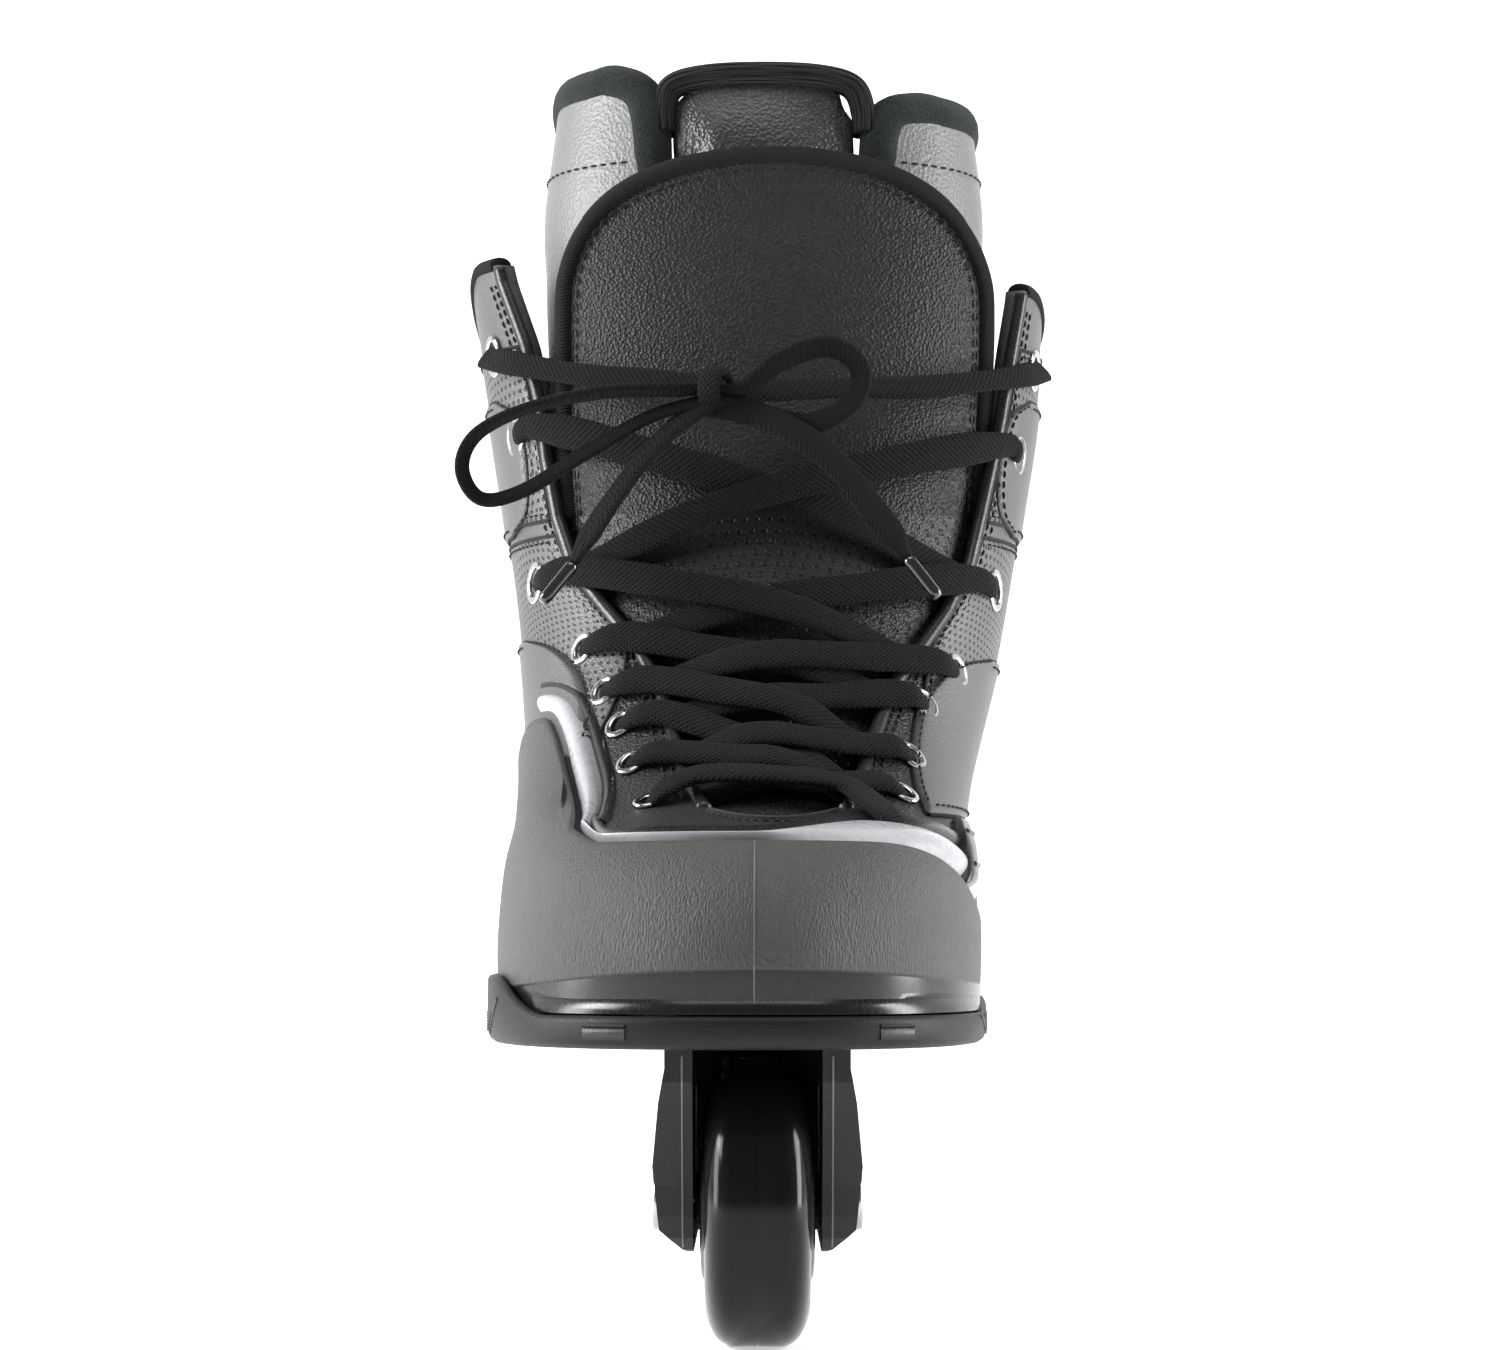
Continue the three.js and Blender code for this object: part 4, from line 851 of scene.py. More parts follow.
# Every ring round the boot and the plate has this many points.
RING = 288
TURN = np.linspace(0, 2 * np.pi, RING, endpoint=False)
PLATE_FORM = np.array([[0, -152, 152, -60, 59.5, 50.5, 2.6, 3.1],
                       [200, -152, 152, -60, 59.5, 50.5, 2.6, 3.1]], float)


def plate_ring(z, depth):
    points = inset(PLATE_FORM, np.full(RING, 100.0), TURN, np.full(RING, float(depth)))
    points[:, 2] = z
    return points


def add_soul_plate():
    """A ring of underside and top round an open middle, a rounded edge, and a raised wing on each side."""
    edge = plate_ring(0, 0)
    start = np.where(edge[:, 0] < 0, smooth(-133, -100, edge[:, 1]), smooth(-100, -62, edge[:, 1]))
    along = start * (1 - smooth(40, 96, edge[:, 1]))
    rim = SOLE_TOP + along * np.where(edge[:, 0] < 0, 8.0, 3.4) + smooth(110, 140, edge[:, 1]) * 5
    rows = [plate_ring(62.3, 30), plate_ring(62.3, 12), plate_ring(62.3, 3.2), plate_ring(62.5, 1.8),
            plate_ring(63.3, 0.7), plate_ring(65, 0.1), plate_ring(67.5, 0.0)]
    rows += [plate_ring(rim - 1.0, 0.1), plate_ring(rim - 0.3, 0.5), plate_ring(rim, 1.3),
             plate_ring(rim - 0.1, 2.0)]
    inner = inset(BOOT, np.full(RING, 76.0), TURN, np.full(RING, -SHELL_OUT - 0.4))
    for share, top in ((1.0, None), (1.0, SOLE_TOP)):
        ring = inner.copy()
        ring[:, 2] = np.maximum(rim - 1.5, SOLE_TOP) if top is None else top
        rows.append(ring)
    rows.append(plate_ring(SOLE_TOP, 30))
    obj = grid("soul_plate_body", np.array(rows), wrap=True, material=PLATE, slot="plate")
    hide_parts("soul_plate")
    outward(obj, (0, 0, 0.066))
    for side, low, high in (("lateral", -0.17, -0.115), ("medial", 0.13, 0.185)):
        turn = np.linspace(low * math.pi, high * math.pi, 12)
        for name, bottom, top, lift, material in (("notch", 64.2, 66.8, 0.12, SEAL),
                                                  ("lip", 66.8, 67.4, 0.3, PLATE)):
            rows = []
            for z, depth in ((bottom, 0.6), (bottom, -lift), (top, -lift), (top, 0.6)):
                ring = inset(PLATE_FORM, np.full(12, 100.0), turn, np.full(12, depth))
                ring[:, 2] = z
                rows.append(ring)
            grid(f"plate_{name}_{side}", np.array(rows), material=material, slot="plate")
    for side, at in (("lateral", -0.36), ("medial", 0.37)):
        share = np.linspace(0, 1, 24)
        turn = (at + math.copysign(0.045, at) * (1 - share)) * math.pi
        path = inset(PLATE_FORM, np.full(24, 100.0), turn, np.full(24, -0.05))
        path[:, 2] = mix(64.5, 69.5 if side == "medial" else 72.0, share)
        deeper = inset(PLATE_FORM, np.full(24, 100.0), turn, np.full(24, 3.0))
        normals = path - deeper * (1, 1, 0) - path * (0, 0, 1)
        band(f"plate_seam_{side}", path, 0.7, 0.35, normals, sides=8, material=SEAL, slot="plate")
        for rib in range(7):
            z = 65.0 + 0.62 * rib
            reach = np.linspace(0, math.copysign(0.07, at), 30)
            turn = (at + math.copysign(0.055 - 0.004 * rib, at) + reach) * math.pi
            path = inset(PLATE_FORM, np.full(30, 100.0), turn, np.full(30, -0.02))
            path[:, 2] = z
            band(f"plate_rib_{side}_{rib}", path, 0.34, 0.3, None, sides=6, material=PLATE, slot="plate")


add_soul_plate()


def shell_edge(angle):
    """Height of the shell's top edge: level at the toe, steep laterally, low medially, high at the heel."""
    point = form(BOOT, np.full_like(angle, 90.0), angle)
    base = SHELL_BOTTOM + 33
    turn = np.minimum((-angle) % (2 * np.pi), np.pi)
    lateral = base + 4 * smooth(0.55, 0.85, turn) + 29 * smooth(0.76, 1.05, turn) - 7 * smooth(1.1, 1.6, turn)
    medial = np.maximum(base - 15 * smooth(-140, -66, point[..., 1]),
                        SHELL_BOTTOM + 42 * smooth(-52, -26, point[..., 1]))
    return np.maximum(np.where(point[..., 0] < 0, lateral, medial),
                      SHELL_BOTTOM + 64 * smooth(60, 130, point[..., 1]))


def add_shell():
    edge = shell_edge(TURN)
    rows = []
    for share in np.linspace(0, 1, 30):
        z = mix(SHELL_BOTTOM, edge, share)
        depth = -SHELL_OUT + 0.35 * smooth(0.97, 1.0, share)
        ring = inset(BOOT, np.maximum(z, 72.8), TURN, np.full(RING, depth))
        if share == 0:
            ring[:, 2] = SHELL_BOTTOM
        rows.append(ring)
    for depth in (-2.2, -1.2, -0.6):
        rows.append(inset(BOOT, edge + 0.15, TURN, np.full(RING, depth)))
    for share in (0.7, 0.3, 0.1):
        rows.append(inset(BOOT, np.maximum(mix(SHELL_BOTTOM, edge, share), 73), TURN, np.full(RING, -0.5)))
    obj = grid("shell_body", np.array(rows), wrap=True, material=SHELL, slot="shell")
    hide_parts("shell")
    outward(obj)
    floor = np.array([inset(BOOT, np.full(RING, 76.0), TURN, np.full(RING, d)) for d in (-0.6, 12, 30)])
    floor[..., 2] = 71.6
    grid("shell_floor", floor, wrap=True, material=SHELL, slot="shell")


add_shell()


def add_shell_lines():
    """The mould's parting line over the toe, painted light grey as a painted highlight."""
    z = np.linspace(SHELL_BOTTOM + 0.5, 102.0, 60)
    points, normals = lifted(z, np.zeros(60) - 0.004, SHELL_OUT + 0.02)
    band("shell_parting_line", points, 0.28, 0.16, normals, sides=8, material=PARTING_HIGHLIGHT, slot="shell")


add_shell_lines()


def beside_edge(angle, away, lift):
    """Points at a distance in from the shell's edge, measured square to that edge as seen from the front."""
    edge = inset(BOOT, shell_edge(angle), angle, np.full_like(angle, -1.0))[:, [0, 2]]
    edge = resample(edge, len(angle))
    along = np.gradient(edge, axis=0)
    along /= np.linalg.norm(along, axis=1, keepdims=True)
    moved = edge + np.stack([-along[:, 1], along[:, 0]], -1) * np.asarray(away)[:, None]
    return on_boot(moved[:, 0], moved[:, 1], lift)


def edge_strip(name, first, last, low, high, lift, material, slot, profile=(0, 0.7, 1, 1, 0.7, 0)):
    """A strip beside the shell's top edge; low and high give its two sides' distances from that edge."""
    angle = np.linspace(first, last, 420)
    rows = [beside_edge(angle, mix(low(angle), high(angle), share), 0.1 + lift * swell)
            for share, swell in zip(np.linspace(0, 1, len(profile)), profile)]
    obj = grid(name, np.array(rows), material=material, slot=slot)
    outward(obj)
    smooth_out(obj)
    return obj


def stripe_width(angle):
    """Wide on the steep lateral edge, a hairline over the toe, and wide again on the medial side."""
    lateral = 5.6 * (1 - smooth(-0.72, -0.3, angle))
    medial = 4.6 * smooth(0.28, 0.8, angle) * (1 - smooth(1.22, 1.36, angle))
    return 0.35 + lateral + medial


def add_stripe():
    strip = edge_strip("stripe_inlay", -1.1, 1.36, lambda a: 1.1 + 0 * a, lambda a: 1.1 + stripe_width(a),
                       2.2,
                       STRIPE, "stripe")
    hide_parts("shell_stripe")
    edge_strip("shell_rim_strip", -1.1, 1.36, lambda a: 1.2 + stripe_width(a),
               lambda a: 4.4 + stripe_width(a), 1.4,
               RIM_PLASTIC, "shell")
    # A near-black cord along the shell's top edge, where the leather meets it: painted shade in the groove
    # between the parts.
    angle = np.linspace(-3.1, 3.1, 600)
    path, normals = lifted(shell_edge(angle) + 0.5, angle, 0.6)
    band("shell_edge_groove", path, 1.5, 0.9, normals, sides=8, material=THREAD, slot="shell")


add_stripe()


def add_moulded_tab():
    """A small raised block behind the medial edge of the stripe, with two plain ribs."""
    height, width = np.linspace(95.5, 111, 28), np.linspace(-1, 1, 20)
    share = np.linspace(-1, 1, 28)
    swell = np.clip((1 - np.abs(share)[:, None] ** 6) * (1 - np.abs(width)[None, :] ** 6), 0, 1) ** 0.5
    z = np.repeat(height[:, None], 20, 1)
    angle = np.radians(71 + 5.2 * width * np.ones((28, 1)) * (1 - 0.12 * share[:, None]))
    obj = outward(grid("moulded_tab", inset(BOOT, z, angle, -3.4 * swell), material=RIM_PLASTIC,
                       slot="shell"))
    smooth_out(obj)
    for number, level in enumerate((100.2, 106.2)):
        path, normals = lifted(np.full(16, level), np.radians(np.linspace(68.2, 73.8, 16)), 3.4)
        band(f"moulded_tab_rib_{number}", path, 1.1, 0.9, normals, sides=8, material=RIM_PLASTIC,
             slot="shell")


add_moulded_tab()

# ---------------------------------------------------------------- leather boot

COLUMNS = 220
VAMP_TOP = 156.0


def collar_edge(angle):
    """Height of the leather's top line: an ear beside the throat, a dip at the ankle, a high back."""
    turn = np.abs(angle)
    ear = np.where(angle < 0, 251.0, 245.0)
    dip = mix(ear, 232.0, smooth(1.15, 1.9, turn))
    return mix(dip, 248.0, smooth(2.2, 3.0, turn))


def throat_angle(side, z):
    return angle_at(BOOT, throat_x(side, np.clip(z, 110.2, 262)), z)


def upper_angles(z, share):
    """Angles round the back from the medial throat edge to the lateral one."""
    return mix(throat_angle(1, z), 2 * np.pi + throat_angle(0, z), share)


def signed(angle):
    return (angle + np.pi) % (2 * np.pi) - np.pi


def upper_points(depth):
    levels = np.r_[np.linspace(73, 95, 6, endpoint=False), np.linspace(95, 108, 12, endpoint=False),
                   np.linspace(108, 116, 26, endpoint=False), np.linspace(116, 150, 22, endpoint=False),
                   np.linspace(150, 192, 18)]
    share = np.linspace(0, 1, COLUMNS)
    rows, zs = [], []
    for z in levels:
        zs.append(np.full(COLUMNS, z))
    top = collar_edge(signed(upper_angles(np.full(COLUMNS, 235.0), share)))
    for step in np.linspace(0, 1, 28)[1:]:
        zs.append(mix(192.0, top, step))
    for z in zs:
        rows.append(inset(BOOT, z, upper_angles(z, share), np.full(COLUMNS, float(depth))))
    return np.array(rows)


def add_upper():
    obj = grid("boot_leather", upper_points(0), material=[VAMP, GREY, LINING], slot="boot_leather")
    weight = obj.vertex_groups.new(name="wall")
    for vertex in obj.data.vertices:
        weight.add([vertex.index], float(mix(0.48, 1.0, smooth(188, 232, vertex.co.z / MM))), "REPLACE")
    for poly in obj.data.polygons:
        if poly.center.z / MM > VAMP_TOP:
            poly.material_index = 1
    weld(obj)
    outward(obj)
    thicken(obj, 5.0, False)
    obj.modifiers["thickness"].vertex_group = "wall"
    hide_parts("boot_upper")


add_upper()


def panel(name, rows, material, lift=0.9, columns=48, steps=60, seam=1.6, slot="boot_leather"):
    """An overlay sewn on the boot, stitched all round: rows of (height, first angle, last angle), degrees."""
    rows = resample(rows, steps)
    share = np.linspace(0, 1, columns)
    z = np.repeat(rows[:, :1], columns, 1)
    angle = np.radians(rows[:, 1:2] + (rows[:, 2:3] - rows[:, 1:2]) * share)
    depth = np.full(z.shape, -float(lift))
    depth[[0, -1]] = -0.1
    depth[:, [0, -1]] = -0.1
    points = inset(BOOT, z, angle, depth)
    obj = outward(grid(name, points, material=material, slot=slot))
    smooth_out(obj)
    loops = []
    for column, pull in ((0, 1), (columns - 1, -1)):
        line_angle = angle[3:-3, column] + pull * np.radians(seam * 1.05)
        loops.append((z[3:-3, column], line_angle))
    for row, pull in ((0, 1), (steps - 1, -1)):
        loops.append((z[row, 2:-2] + pull * seam, angle[row, 2:-2]))
    for i, (line_z, line_angle) in enumerate(loops):
        path, normals = lifted(line_z, line_angle, lift + 0.05)
        stitches(f"{name}_seam_{i}", path, normals, THREAD)
    edge_z = np.r_[z[:, 0], z[-1, 1:-1], z[::-1, -1], z[0, ::-1][1:-1]]
    edge_a = np.r_[angle[:, 0], angle[-1, 1:-1], angle[::-1, -1], angle[0, ::-1][1:-1]]
    path, normals = lifted(edge_z, edge_a, 0.35)
    band(f"{name}_edge", resample(path, 300, closed=True), 0.9, 0.9, None, sides=6, square=2, closed=True,
         material=THREAD, slot=slot)
    return obj


def eyestay_rows(side, heights, inner, outer):
    """Rows of a panel that starts beside the throat's edge and runs back to an outer angle."""
    sign = 1 if side else -1
    return [(z, float(np.degrees(throat_angle(side, np.float64(z)))) + sign * near, sign * far)
            for z, near, far in zip(heights, inner, outer)]


def add_panels():
    for side, name in ((0, "lateral"), (1, "medial")):
        sign = 1 if side else -1
        low = 131 if side == 0 else 125
        panel(f"perforated_{name}", eyestay_rows(side, (low, low + 6, 146, 156, 170, 182),
                                                 (22, 16, 8, 2.2, 2.2, 2.2),
                                                 (96, 104, 110, 112, 112, 104)), PERFORATED, 0.45)
        panel(f"perforated_ear_{name}", eyestay_rows(side, (186, 192, 208, 222, 230), [2.2] * 5,
                                                     (96, 108, 112, 108, 98)), PERFORATED, 0.45)
        if side == 0:
            rows = [(124, -54, -118), (131, -47, -124), (140, -44.5, -128), (148, -48, -128),
                    (154, -58, -122),
                    (157, -74, -110)]
        else:
            rows = [(112, 52, 118), (121, 45, 124), (132, 42, 128), (142, 44, 128), (149, 54, 122),
                    (152, 72, 110)]
        panel(f"quarter_{name}", rows, GREY, 1.2)
        panel(f"ankle_tab_{name}", [(184, sign * 74, sign * 98), (189, sign * 62, sign * 108),
                                    (202, sign * 58.5, sign * 113), (213, sign * 61, sign * 108),
                                    (218, sign * 72, sign * 98)], GREY, 1.2)
    panel("heel_counter", [(126, 128, 232), (150, 132, 228), (178, 146, 214), (196, 162, 198),
                           (200, 172, 188)], GREY)
    panel("back_stay", [(204, 166, 194), (226, 165, 195), (243, 163, 197)], VAMP)
    path = resample([(0, 128.6, 222), (0, 131.5, 228), (0, 137, 240), (0, 136, 250), (0, 130, 252),
                     (0, 126.5, 246)],
                    60)
    tangent = np.gradient(path, axis=0)
    band("heel_pull_loop", path, 16, 1.6, np.cross([1.0, 0.0, 0.0], tangent), sides=14, square=5,
         material=BINDING,
         slot="boot_leather")


add_panels()


def throat_line(side, shift, z0, z1, count):
    z = np.linspace(z0, z1, count)
    angle = throat_angle(side, z) + (1 if side else -1) * np.radians(shift)
    return z, angle


def add_throat_edges():
    """The bound edge of the eyestay, and two rows of stitching beside it."""
    for side, name in ((0, "lateral"), (1, "medial")):
        top = 250 if side == 0 else 244
        z, angle = throat_line(side, 0.4, 113.5, top, 240)
        path, normals = lifted(z, angle, -0.6)
        band(f"eyestay_edge_{name}", path, 3.4, 3.2, normals, sides=12, square=2.4, material=RIM_PLASTIC,
             slot="boot_leather")
        for row, shift in enumerate((3.2, 5.6)):
            z, angle = throat_line(side, shift, 116, top - 4, 200)
            path, normals = lifted(z, angle, 0.15)
            stitches(f"eyestay_seam_{name}_{row}", path, normals, THREAD)
    foot_x = np.linspace(-10.5, 17.5, 60)
    foot_z = 110.4 + 2.2 * ((foot_x - 3.5) / 14) ** 2
    path, normals = on_boot(foot_x, foot_z, -0.4), path_normals(foot_x, foot_z)
    band("eyestay_foot_edge", path, 2.2, 2.2, normals, sides=12, material=THREAD, slot="boot_leather")
    stitches("eyestay_foot_seam", on_boot(foot_x, foot_z - 0.9, 0.15), path_normals(foot_x, foot_z - 0.9),
             THREAD)


add_throat_edges()


def add_collar_binding():
    share = np.linspace(0.01, 0.99, 300)
    top = collar_edge(signed(upper_angles(np.full(300, 235.0), share)))
    path = inset(BOOT, top, upper_angles(top, share), np.full(300, 2.4))
    normals = np.tile([0.0, 0.0, 1.0], (300, 1))
    band("collar_binding", path, 6.2, 4.4, normals, sides=14, square=2.3, material=BINDING,
         slot="boot_leather")


add_collar_binding()


def add_eyelet(name, x, z, scale):
    """An oval metal ring pressed into the leather."""
    point, normal = on_boot(x, z, 0.7), path_normals(np.array([x]), np.array([z]))[0]
    up = np.array([0.0, 0.0, 1.0]) - normal * normal[2]
    up /= np.linalg.norm(up)
    side = np.cross(up, normal)
    turn = np.linspace(0, 2 * np.pi, 48, endpoint=False)
    path = point + np.outer(np.cos(turn), side) * 2.7 * scale + np.outer(np.sin(turn), up) * 3.5 * scale
    band(name, path, 1.7, 1.0, np.tile(normal, (48, 1)), sides=12, square=2.2, closed=True,
         material=EYELET_METAL,
         slot="bolt_steel")


for pair, (eyelet_z, eyelet_x) in enumerate(EYELETS, 1):
    for eyelet_side in (0, 1):
        add_eyelet(f"eyelet_{pair}_{'medial' if eyelet_side else 'lateral'}", eyelet_x[eyelet_side],
                   eyelet_z[eyelet_side], 1.25 if pair > 5 else 1.0)

# ---------------------------------------------------------------- tongue

TONGUE_ROWS = np.array([
    (110.8, -15, 20), (113, -21, 26), (121, -24, 29), (133, -28, 34), (148, -35, 43), (163, -44, 53),
    (180, -49, 57.5), (200, -51, 59), (218, -51, 60), (236, -51, 60.5), (247, -50, 59.5), (258, -45, 54),
    (267, -36, 45), (273, -23, 32), (275.6, -8, 17), (276.1, 1, 8),
], float)
TONGUE_DEPTH = 3.9
TONGUE_THICKNESS = 3.6
PERFORATED_TOP = 186.0


def tongue_surface(depth_of, steps=120, columns=64):
    rows = resample(TONGUE_ROWS, steps)
    share = np.linspace(0, 1, columns)
    z = np.repeat(rows[:, :1], columns, 1)
    x = rows[:, 1:2] + (rows[:, 2:3] - rows[:, 1:2]) * share
    return inset(BOOT, z, angle_at(BOOT, x, z), depth_of(z, share[None, :]))


def add_tongue():
    def outer(z, share):
        crown = np.sin(np.pi * share) ** 0.7
        return TONGUE_DEPTH + 0.4 - crown * mix(2.6, 1.2, smooth(122, 150, z))

    obj = outward(grid("tongue_leather_panel", tongue_surface(outer),
                       material=[TONGUE_DOTS, TONGUE, LINING], slot="tongue_leather",
                       body=None), (0, 0.06, 0.2))
    for poly in obj.data.polygons:
        if poly.center.z / MM > PERFORATED_TOP:
            poly.material_index = 1
    thicken(obj, TONGUE_THICKNESS, True)
    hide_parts("tongue", "tongue_flap")
    return obj


def tongue_border(pull, count=420):
    rows = resample(TONGUE_ROWS, 200)
    rows = rows[rows[:, 0] > PERFORATED_TOP]
    left = np.stack([rows[:, 1] + pull, rows[:, 0] - pull * smooth(255, 275, rows[:, 0])], -1)
    right = np.stack([rows[:, 2] - pull, rows[:, 0] - pull * smooth(255, 275, rows[:, 0])], -1)[::-1]
    line = resample(np.vstack([left, right]), count)
    return line[:, 0], line[:, 1]


def add_tongue_trim():
    x, z = tongue_border(1.2)
    path = on_boot(x, z, -TONGUE_DEPTH - 1.2)
    binding = band("tongue_binding", path, 5.0, 5.6, path_normals(x, z), sides=14, square=2.4,
                   material=BINDING,
                   body=None, slot="tongue_leather")
    x, z = tongue_border(4.4)
    seam = stitches("tongue_binding_seam", on_boot(x, z, -TONGUE_DEPTH + 0.4), path_normals(x, z), THREAD,
                    3.2, 2.2,
                    0.6, body=None)
    return [binding, seam]


for flexible in [add_tongue(), *add_tongue_trim()]:
    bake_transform(flexible)

# ---------------------------------------------------------------- liner


def liner_edge(angle):
    turn = np.abs(angle)
    wing = np.where(angle < 0, 303.0, 296.0)
    front = mix(wing - 14, wing, smooth(0.3, 0.75, turn))
    return mix(front, 288.0, smooth(1.3, 2.4, turn))


# The slot down the liner's front, where its tongue shows: (X, height) points of each edge.
SLOT_MEDIAL = np.array([(2, 116), (20, 126), (27, 150), (28.5, 200), (31, 320)], float)
SLOT_LATERAL = np.array([(2, 116), (-14, 126), (-23, 150), (-24.5, 200), (-27, 320)], float)


def liner_angles(z, share):
    medial = angle_at(LINER, np.interp(z, SLOT_MEDIAL[:, 1], SLOT_MEDIAL[:, 0]), z)
    lateral = angle_at(LINER, np.interp(z, SLOT_LATERAL[:, 1], SLOT_LATERAL[:, 0]), z)
    return mix(medial, 2 * np.pi + lateral, share)


def add_liner():
    share = np.linspace(0, 1, 180)
    levels = list(np.linspace(78, 116, 14, endpoint=False)) + list(np.linspace(116, 250, 44))
    top = liner_edge(signed(liner_angles(np.full(180, 280.0), share))) - 4
    zs = [np.full(180, z) for z in levels] + [mix(250.0, top, s) for s in np.linspace(0, 1, 18)[1:]]
    points = []
    for z in zs:
        bulge = 0.8 * np.sin((z - 250) / 9.0) * smooth(245, 262, z)
        points.append(inset(LINER, z, liner_angles(z, share), -bulge))
    obj = grid("liner_padding", np.array(points), material=[LINER_GREY, LINING, LINING], slot="liner_fabric")
    weight = obj.vertex_groups.new(name="wall")
    for vertex in obj.data.vertices:
        weight.add([vertex.index], float(mix(0.5, 1.0, smooth(104, 150, vertex.co.z / MM))), "REPLACE")
    weld(obj)
    outward(obj)
    thicken(obj, 9.0, True, rim=1, inner=2)
    obj.modifiers["thickness"].vertex_group = "wall"
    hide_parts("liner_sole", "liner_toe", "liner_instep", "liner_heel", "liner_ankle", "liner_cuff")
    seam_share = np.linspace(0.02, 0.98, 240)
    seam_z = np.full(240, 276.0)
    seam_angle = liner_angles(seam_z, seam_share)
    path, normals = lifted(seam_z, seam_angle, 0.3, LINER)
    stitches("liner_seam", path, normals, THREAD, 3.0, 2.0)
    add_liner_roll()


def add_liner_roll():
    """The lining turned over the collar's edge, from the foot of one wing over the back to the other."""
    down = np.array([196.0, 215.0, 235.0, 255.0, 272.0])
    across = np.linspace(0.012, 0.988, 26)
    top = liner_edge(signed(liner_angles(np.full(26, 285.0), across))) - 5.4
    z = np.r_[down, top, down[::-1]]
    share = np.r_[np.full(5, 0.006), across, np.full(5, 0.994)]
    path = resample(inset(LINER, z, liner_angles(z, share), np.full(len(z), 4.4)), 320)
    ends = np.minimum(np.arange(320), np.arange(320)[::-1]) / 24
    width = 10.2 * np.sqrt(np.clip(ends, 0.12, 1))
    roll = band("liner_collar_roll", path, width, width, None, sides=20, square=2.1, material=LINING,
                slot="liner_fabric")


add_liner()

LINER_TONGUE_ROWS = np.array([(134, -14, 18), (150, -20.5, 24.5), (180, -22, 26), (215, -23, 27),
                              (250, -24, 28),
                              (282, -25, 28.5), (293, -24.5, 28), (299, -21, 24.5), (301.5, -13, 17)], float)


CLOTH_FRAMES = 20


def swell(obj, voxel, pressure, cap):
    """Inflate a closed padded form by a short cloth simulation, with a cap on how far any point moves."""
    scene = bpy.context.scene
    bpy.context.view_layer.objects.active = obj
    remesh = obj.modifiers.new("remesh", "REMESH")
    remesh.mode = "VOXEL"
    remesh.voxel_size = voxel * MM
    bpy.ops.object.modifier_apply(modifier=remesh.name)
    start = np.array([v.co for v in obj.data.vertices])
    cloth = obj.modifiers.new("cloth", "CLOTH")
    cloth.settings.effector_weights.gravity = 0
    cloth.settings.use_pressure = True
    cloth.settings.uniform_pressure_force = pressure
    cloth.settings.tension_stiffness = 15
    cloth.point_cache.frame_start, cloth.point_cache.frame_end = 1, CLOTH_FRAMES
    for step in range(1, CLOTH_FRAMES + 1):
        scene.frame_set(step)
    shape = obj.evaluated_get(bpy.context.evaluated_depsgraph_get())
    moved = np.array([v.co for v in shape.data.vertices]) - start
    obj.modifiers.remove(cloth)
    scene.frame_set(1)
    far = np.linalg.norm(moved, axis=1, keepdims=True)
    moved *= np.minimum(1, cap * MM / np.maximum(far, 1e-9))
    obj.data.vertices.foreach_set("co", (start + moved).ravel())
    obj.data.polygons.foreach_set("use_smooth", [True] * len(obj.data.polygons))
    obj.data.update()
    smooth_out(obj)


def add_liner_tongue():
    """A padded closed form, and the ribbed trim round its top edge."""
    rows = resample(LINER_TONGUE_ROWS, 70)
    share = np.linspace(0, 1, 26)
    z = np.repeat(rows[:, :1], 26, 1)
    x = rows[:, 1:2] + (rows[:, 2:3] - rows[:, 1:2]) * share
    angle = angle_at(LINER, x, z)
    dome = np.sin(np.pi * np.clip(share, 0.02, 0.98))[None, :] ** 0.5
    front = inset(LINER, z, angle, 2.4 + 2.4 * (1 - dome) + 0 * z)
    back = inset(LINER, z, angle, 8.2 - 2.4 * (1 - dome) + 0 * z)
    loop = np.concatenate([front, back[:, ::-1]], axis=1)
    obj = grid("liner_tongue_pad", loop, wrap=True, caps=True, material=LINER_BLACK, slot="liner_fabric")
    weld(obj, 0.001)
    swell(obj, 4.0, 4.0, 1.4)
    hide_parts("liner_tongue")
    edge = np.array([(-24.2, 284), (-24.4, 290), (-22.5, 296), (-14, 298.4), (2, 299), (17, 298.4), (25, 296),
                     (27.6, 290), (27.8, 284)])
    line = resample(edge, 160)
    path = inset(LINER, line[:, 1], angle_at(LINER, line[:, 0], line[:, 1]), np.full(160, 4.8))
    normals = path - inset(LINER, line[:, 1], angle_at(LINER, line[:, 0], line[:, 1]), np.full(160, 8.0))
    band("liner_tongue_trim", path, 5.6, 8.2, normals, sides=18, square=2.5, material=KNIT,
         slot="liner_fabric")


add_liner_tongue()


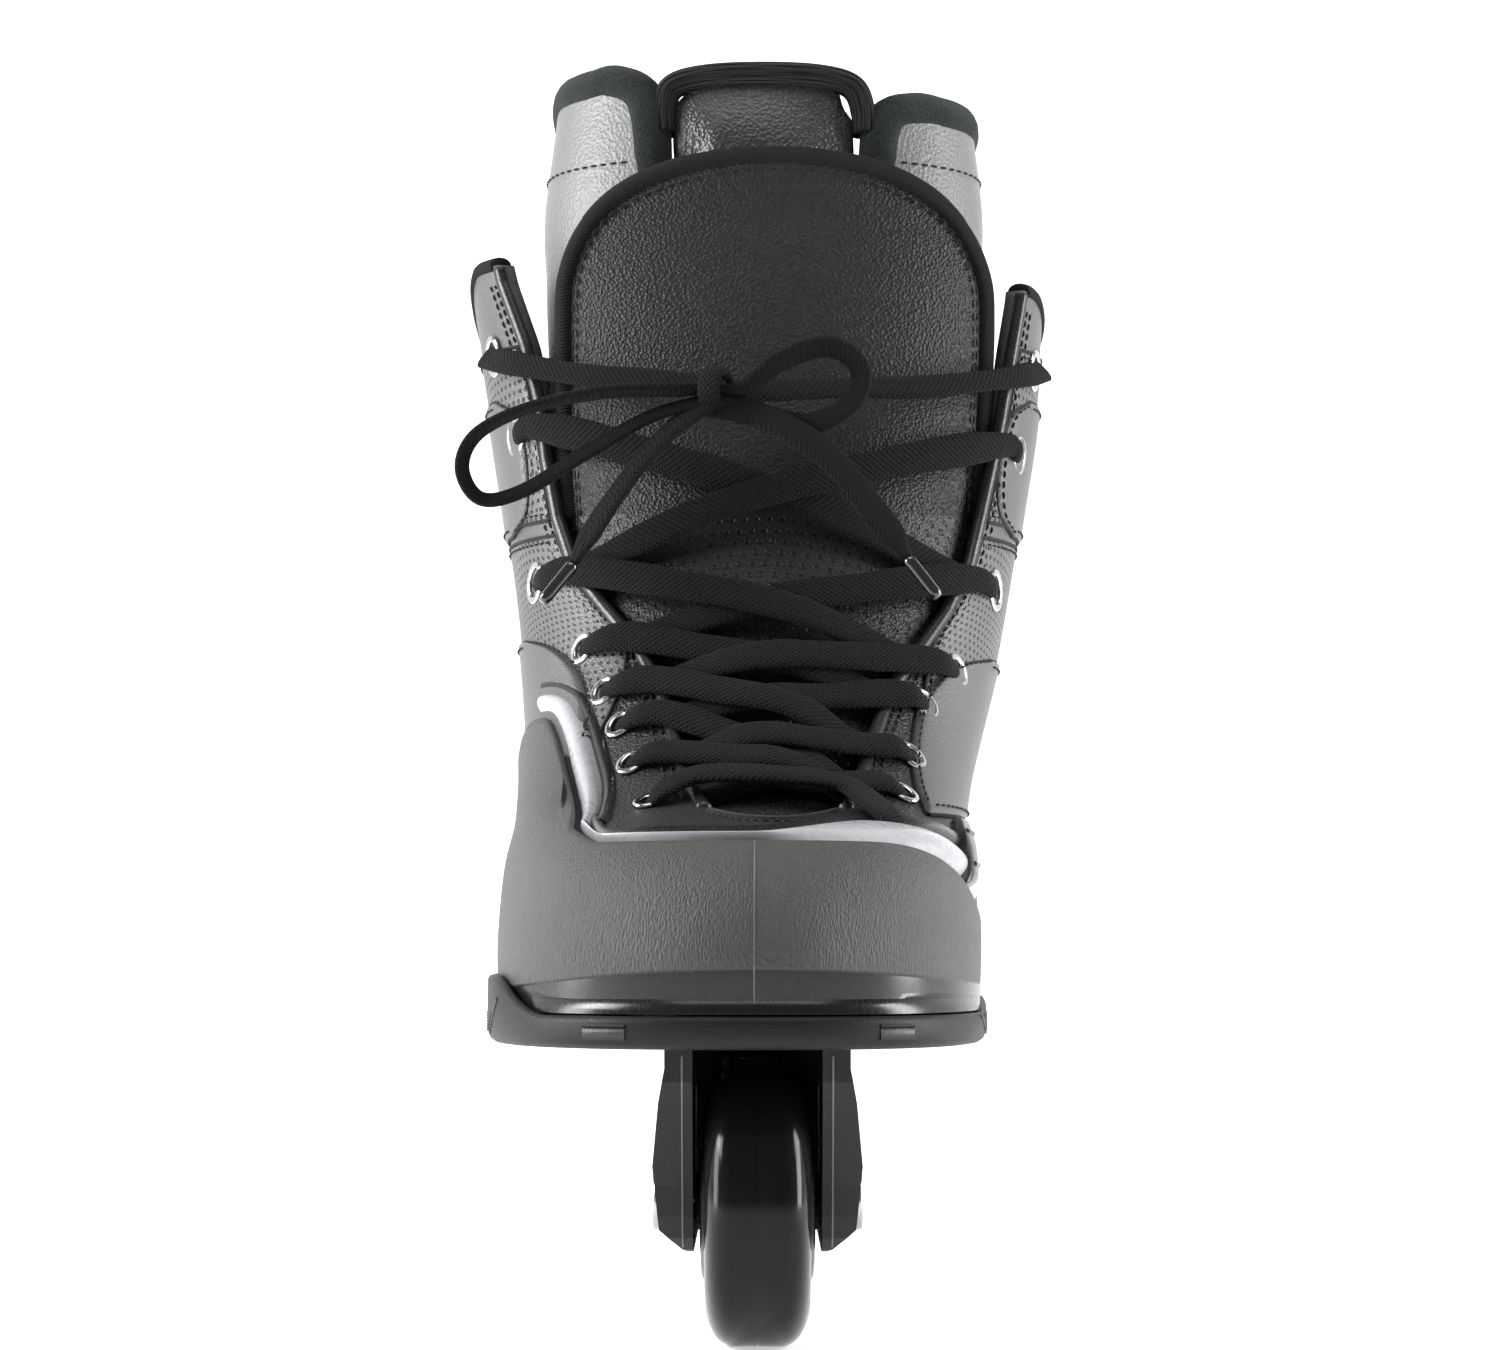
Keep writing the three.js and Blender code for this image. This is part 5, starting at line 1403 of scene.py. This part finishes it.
def add_footbed():
    rings = []
    for height, depth in ((76.2, 8.5), (76.6, 8.0), (79.2, 7.8), (80.2, 8.6), (80.0, 20), (79.6, 34)):
        ring = inset(LINER, np.full(RING, 84.0), TURN, np.full(RING, depth))
        ring[:, 2] = height
        rings.append(ring)
    obj = grid("footbed_pad", np.array(rings), wrap=True, material=FOAM, slot="foam")
    outward(obj, (0, 0, 0.078))
    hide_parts("footbed")


add_footbed()

# ---------------------------------------------------------------- light and floor


def add_area(name, place, size, power, target=(0, 0, 0.15)):
    data = bpy.data.lights.new(name, "AREA")
    data.shape = "RECTANGLE"
    data.size, data.size_y = size
    data.energy = power
    light = bpy.data.objects.new(name, data)
    light.location = place
    light.rotation_euler = (Vector(target) - Vector(place)).to_track_quat("-Z", "Y").to_euler()
    bpy.context.collection.objects.link(light)


def add_studio():
    mesh = bpy.data.meshes.new("floor")
    profile = [(-12.0, 0.0), (1.2, 0.0)] + [
        (1.2 + 0.8 * math.sin(a), 0.8 - 0.8 * math.cos(a)) for a in np.linspace(0.1, math.pi / 2, 14)
    ] + [(2.0, 4.0)]
    verts = [(x, y, z) for y, z in profile for x in (-12.0, 12.0)]
    faces = [(2 * i, 2 * i + 1, 2 * i + 3, 2 * i + 2) for i in range(len(profile) - 1)]
    mesh.from_pydata(verts, [], faces)
    mesh.polygons.foreach_set("use_smooth", [True] * len(mesh.polygons))
    floor = bpy.data.objects.new("floor", mesh)
    pale = Nodes("pale_floor")
    pale.set(Base_Color=(0.9, 0.9, 0.9, 1), Roughness=0.9, Emission_Color=(1, 1, 1, 1), Emission_Strength=0.5)
    mesh.materials.append(pale.material)
    bpy.context.collection.objects.link(floor)
    world = bpy.data.worlds.new("studio")
    world.use_nodes = True
    world.node_tree.nodes["Background"].inputs[0].default_value = (1, 1, 1, 1)
    world.node_tree.nodes["Background"].inputs[1].default_value = 0.2
    bpy.context.scene.world = world
    add_area("top_softbox", (0.0, -0.25, 0.95), (0.7, 0.5), 3)
    add_area("left_strip", (-0.7, -0.05, 0.25), (0.25, 0.7), 6)
    add_area("right_strip", (0.7, -0.05, 0.25), (0.25, 0.7), 8)
    add_area("upper_left", (-0.6, -0.15, 0.45), (0.3, 0.3), 4)
    add_area("backdrop_wash", (0.0, 0.9, 1.1), (1.6, 0.4), 14, (0, 1.6, 0.5))
    bpy.context.scene.view_settings.view_transform = "Standard"


add_studio()
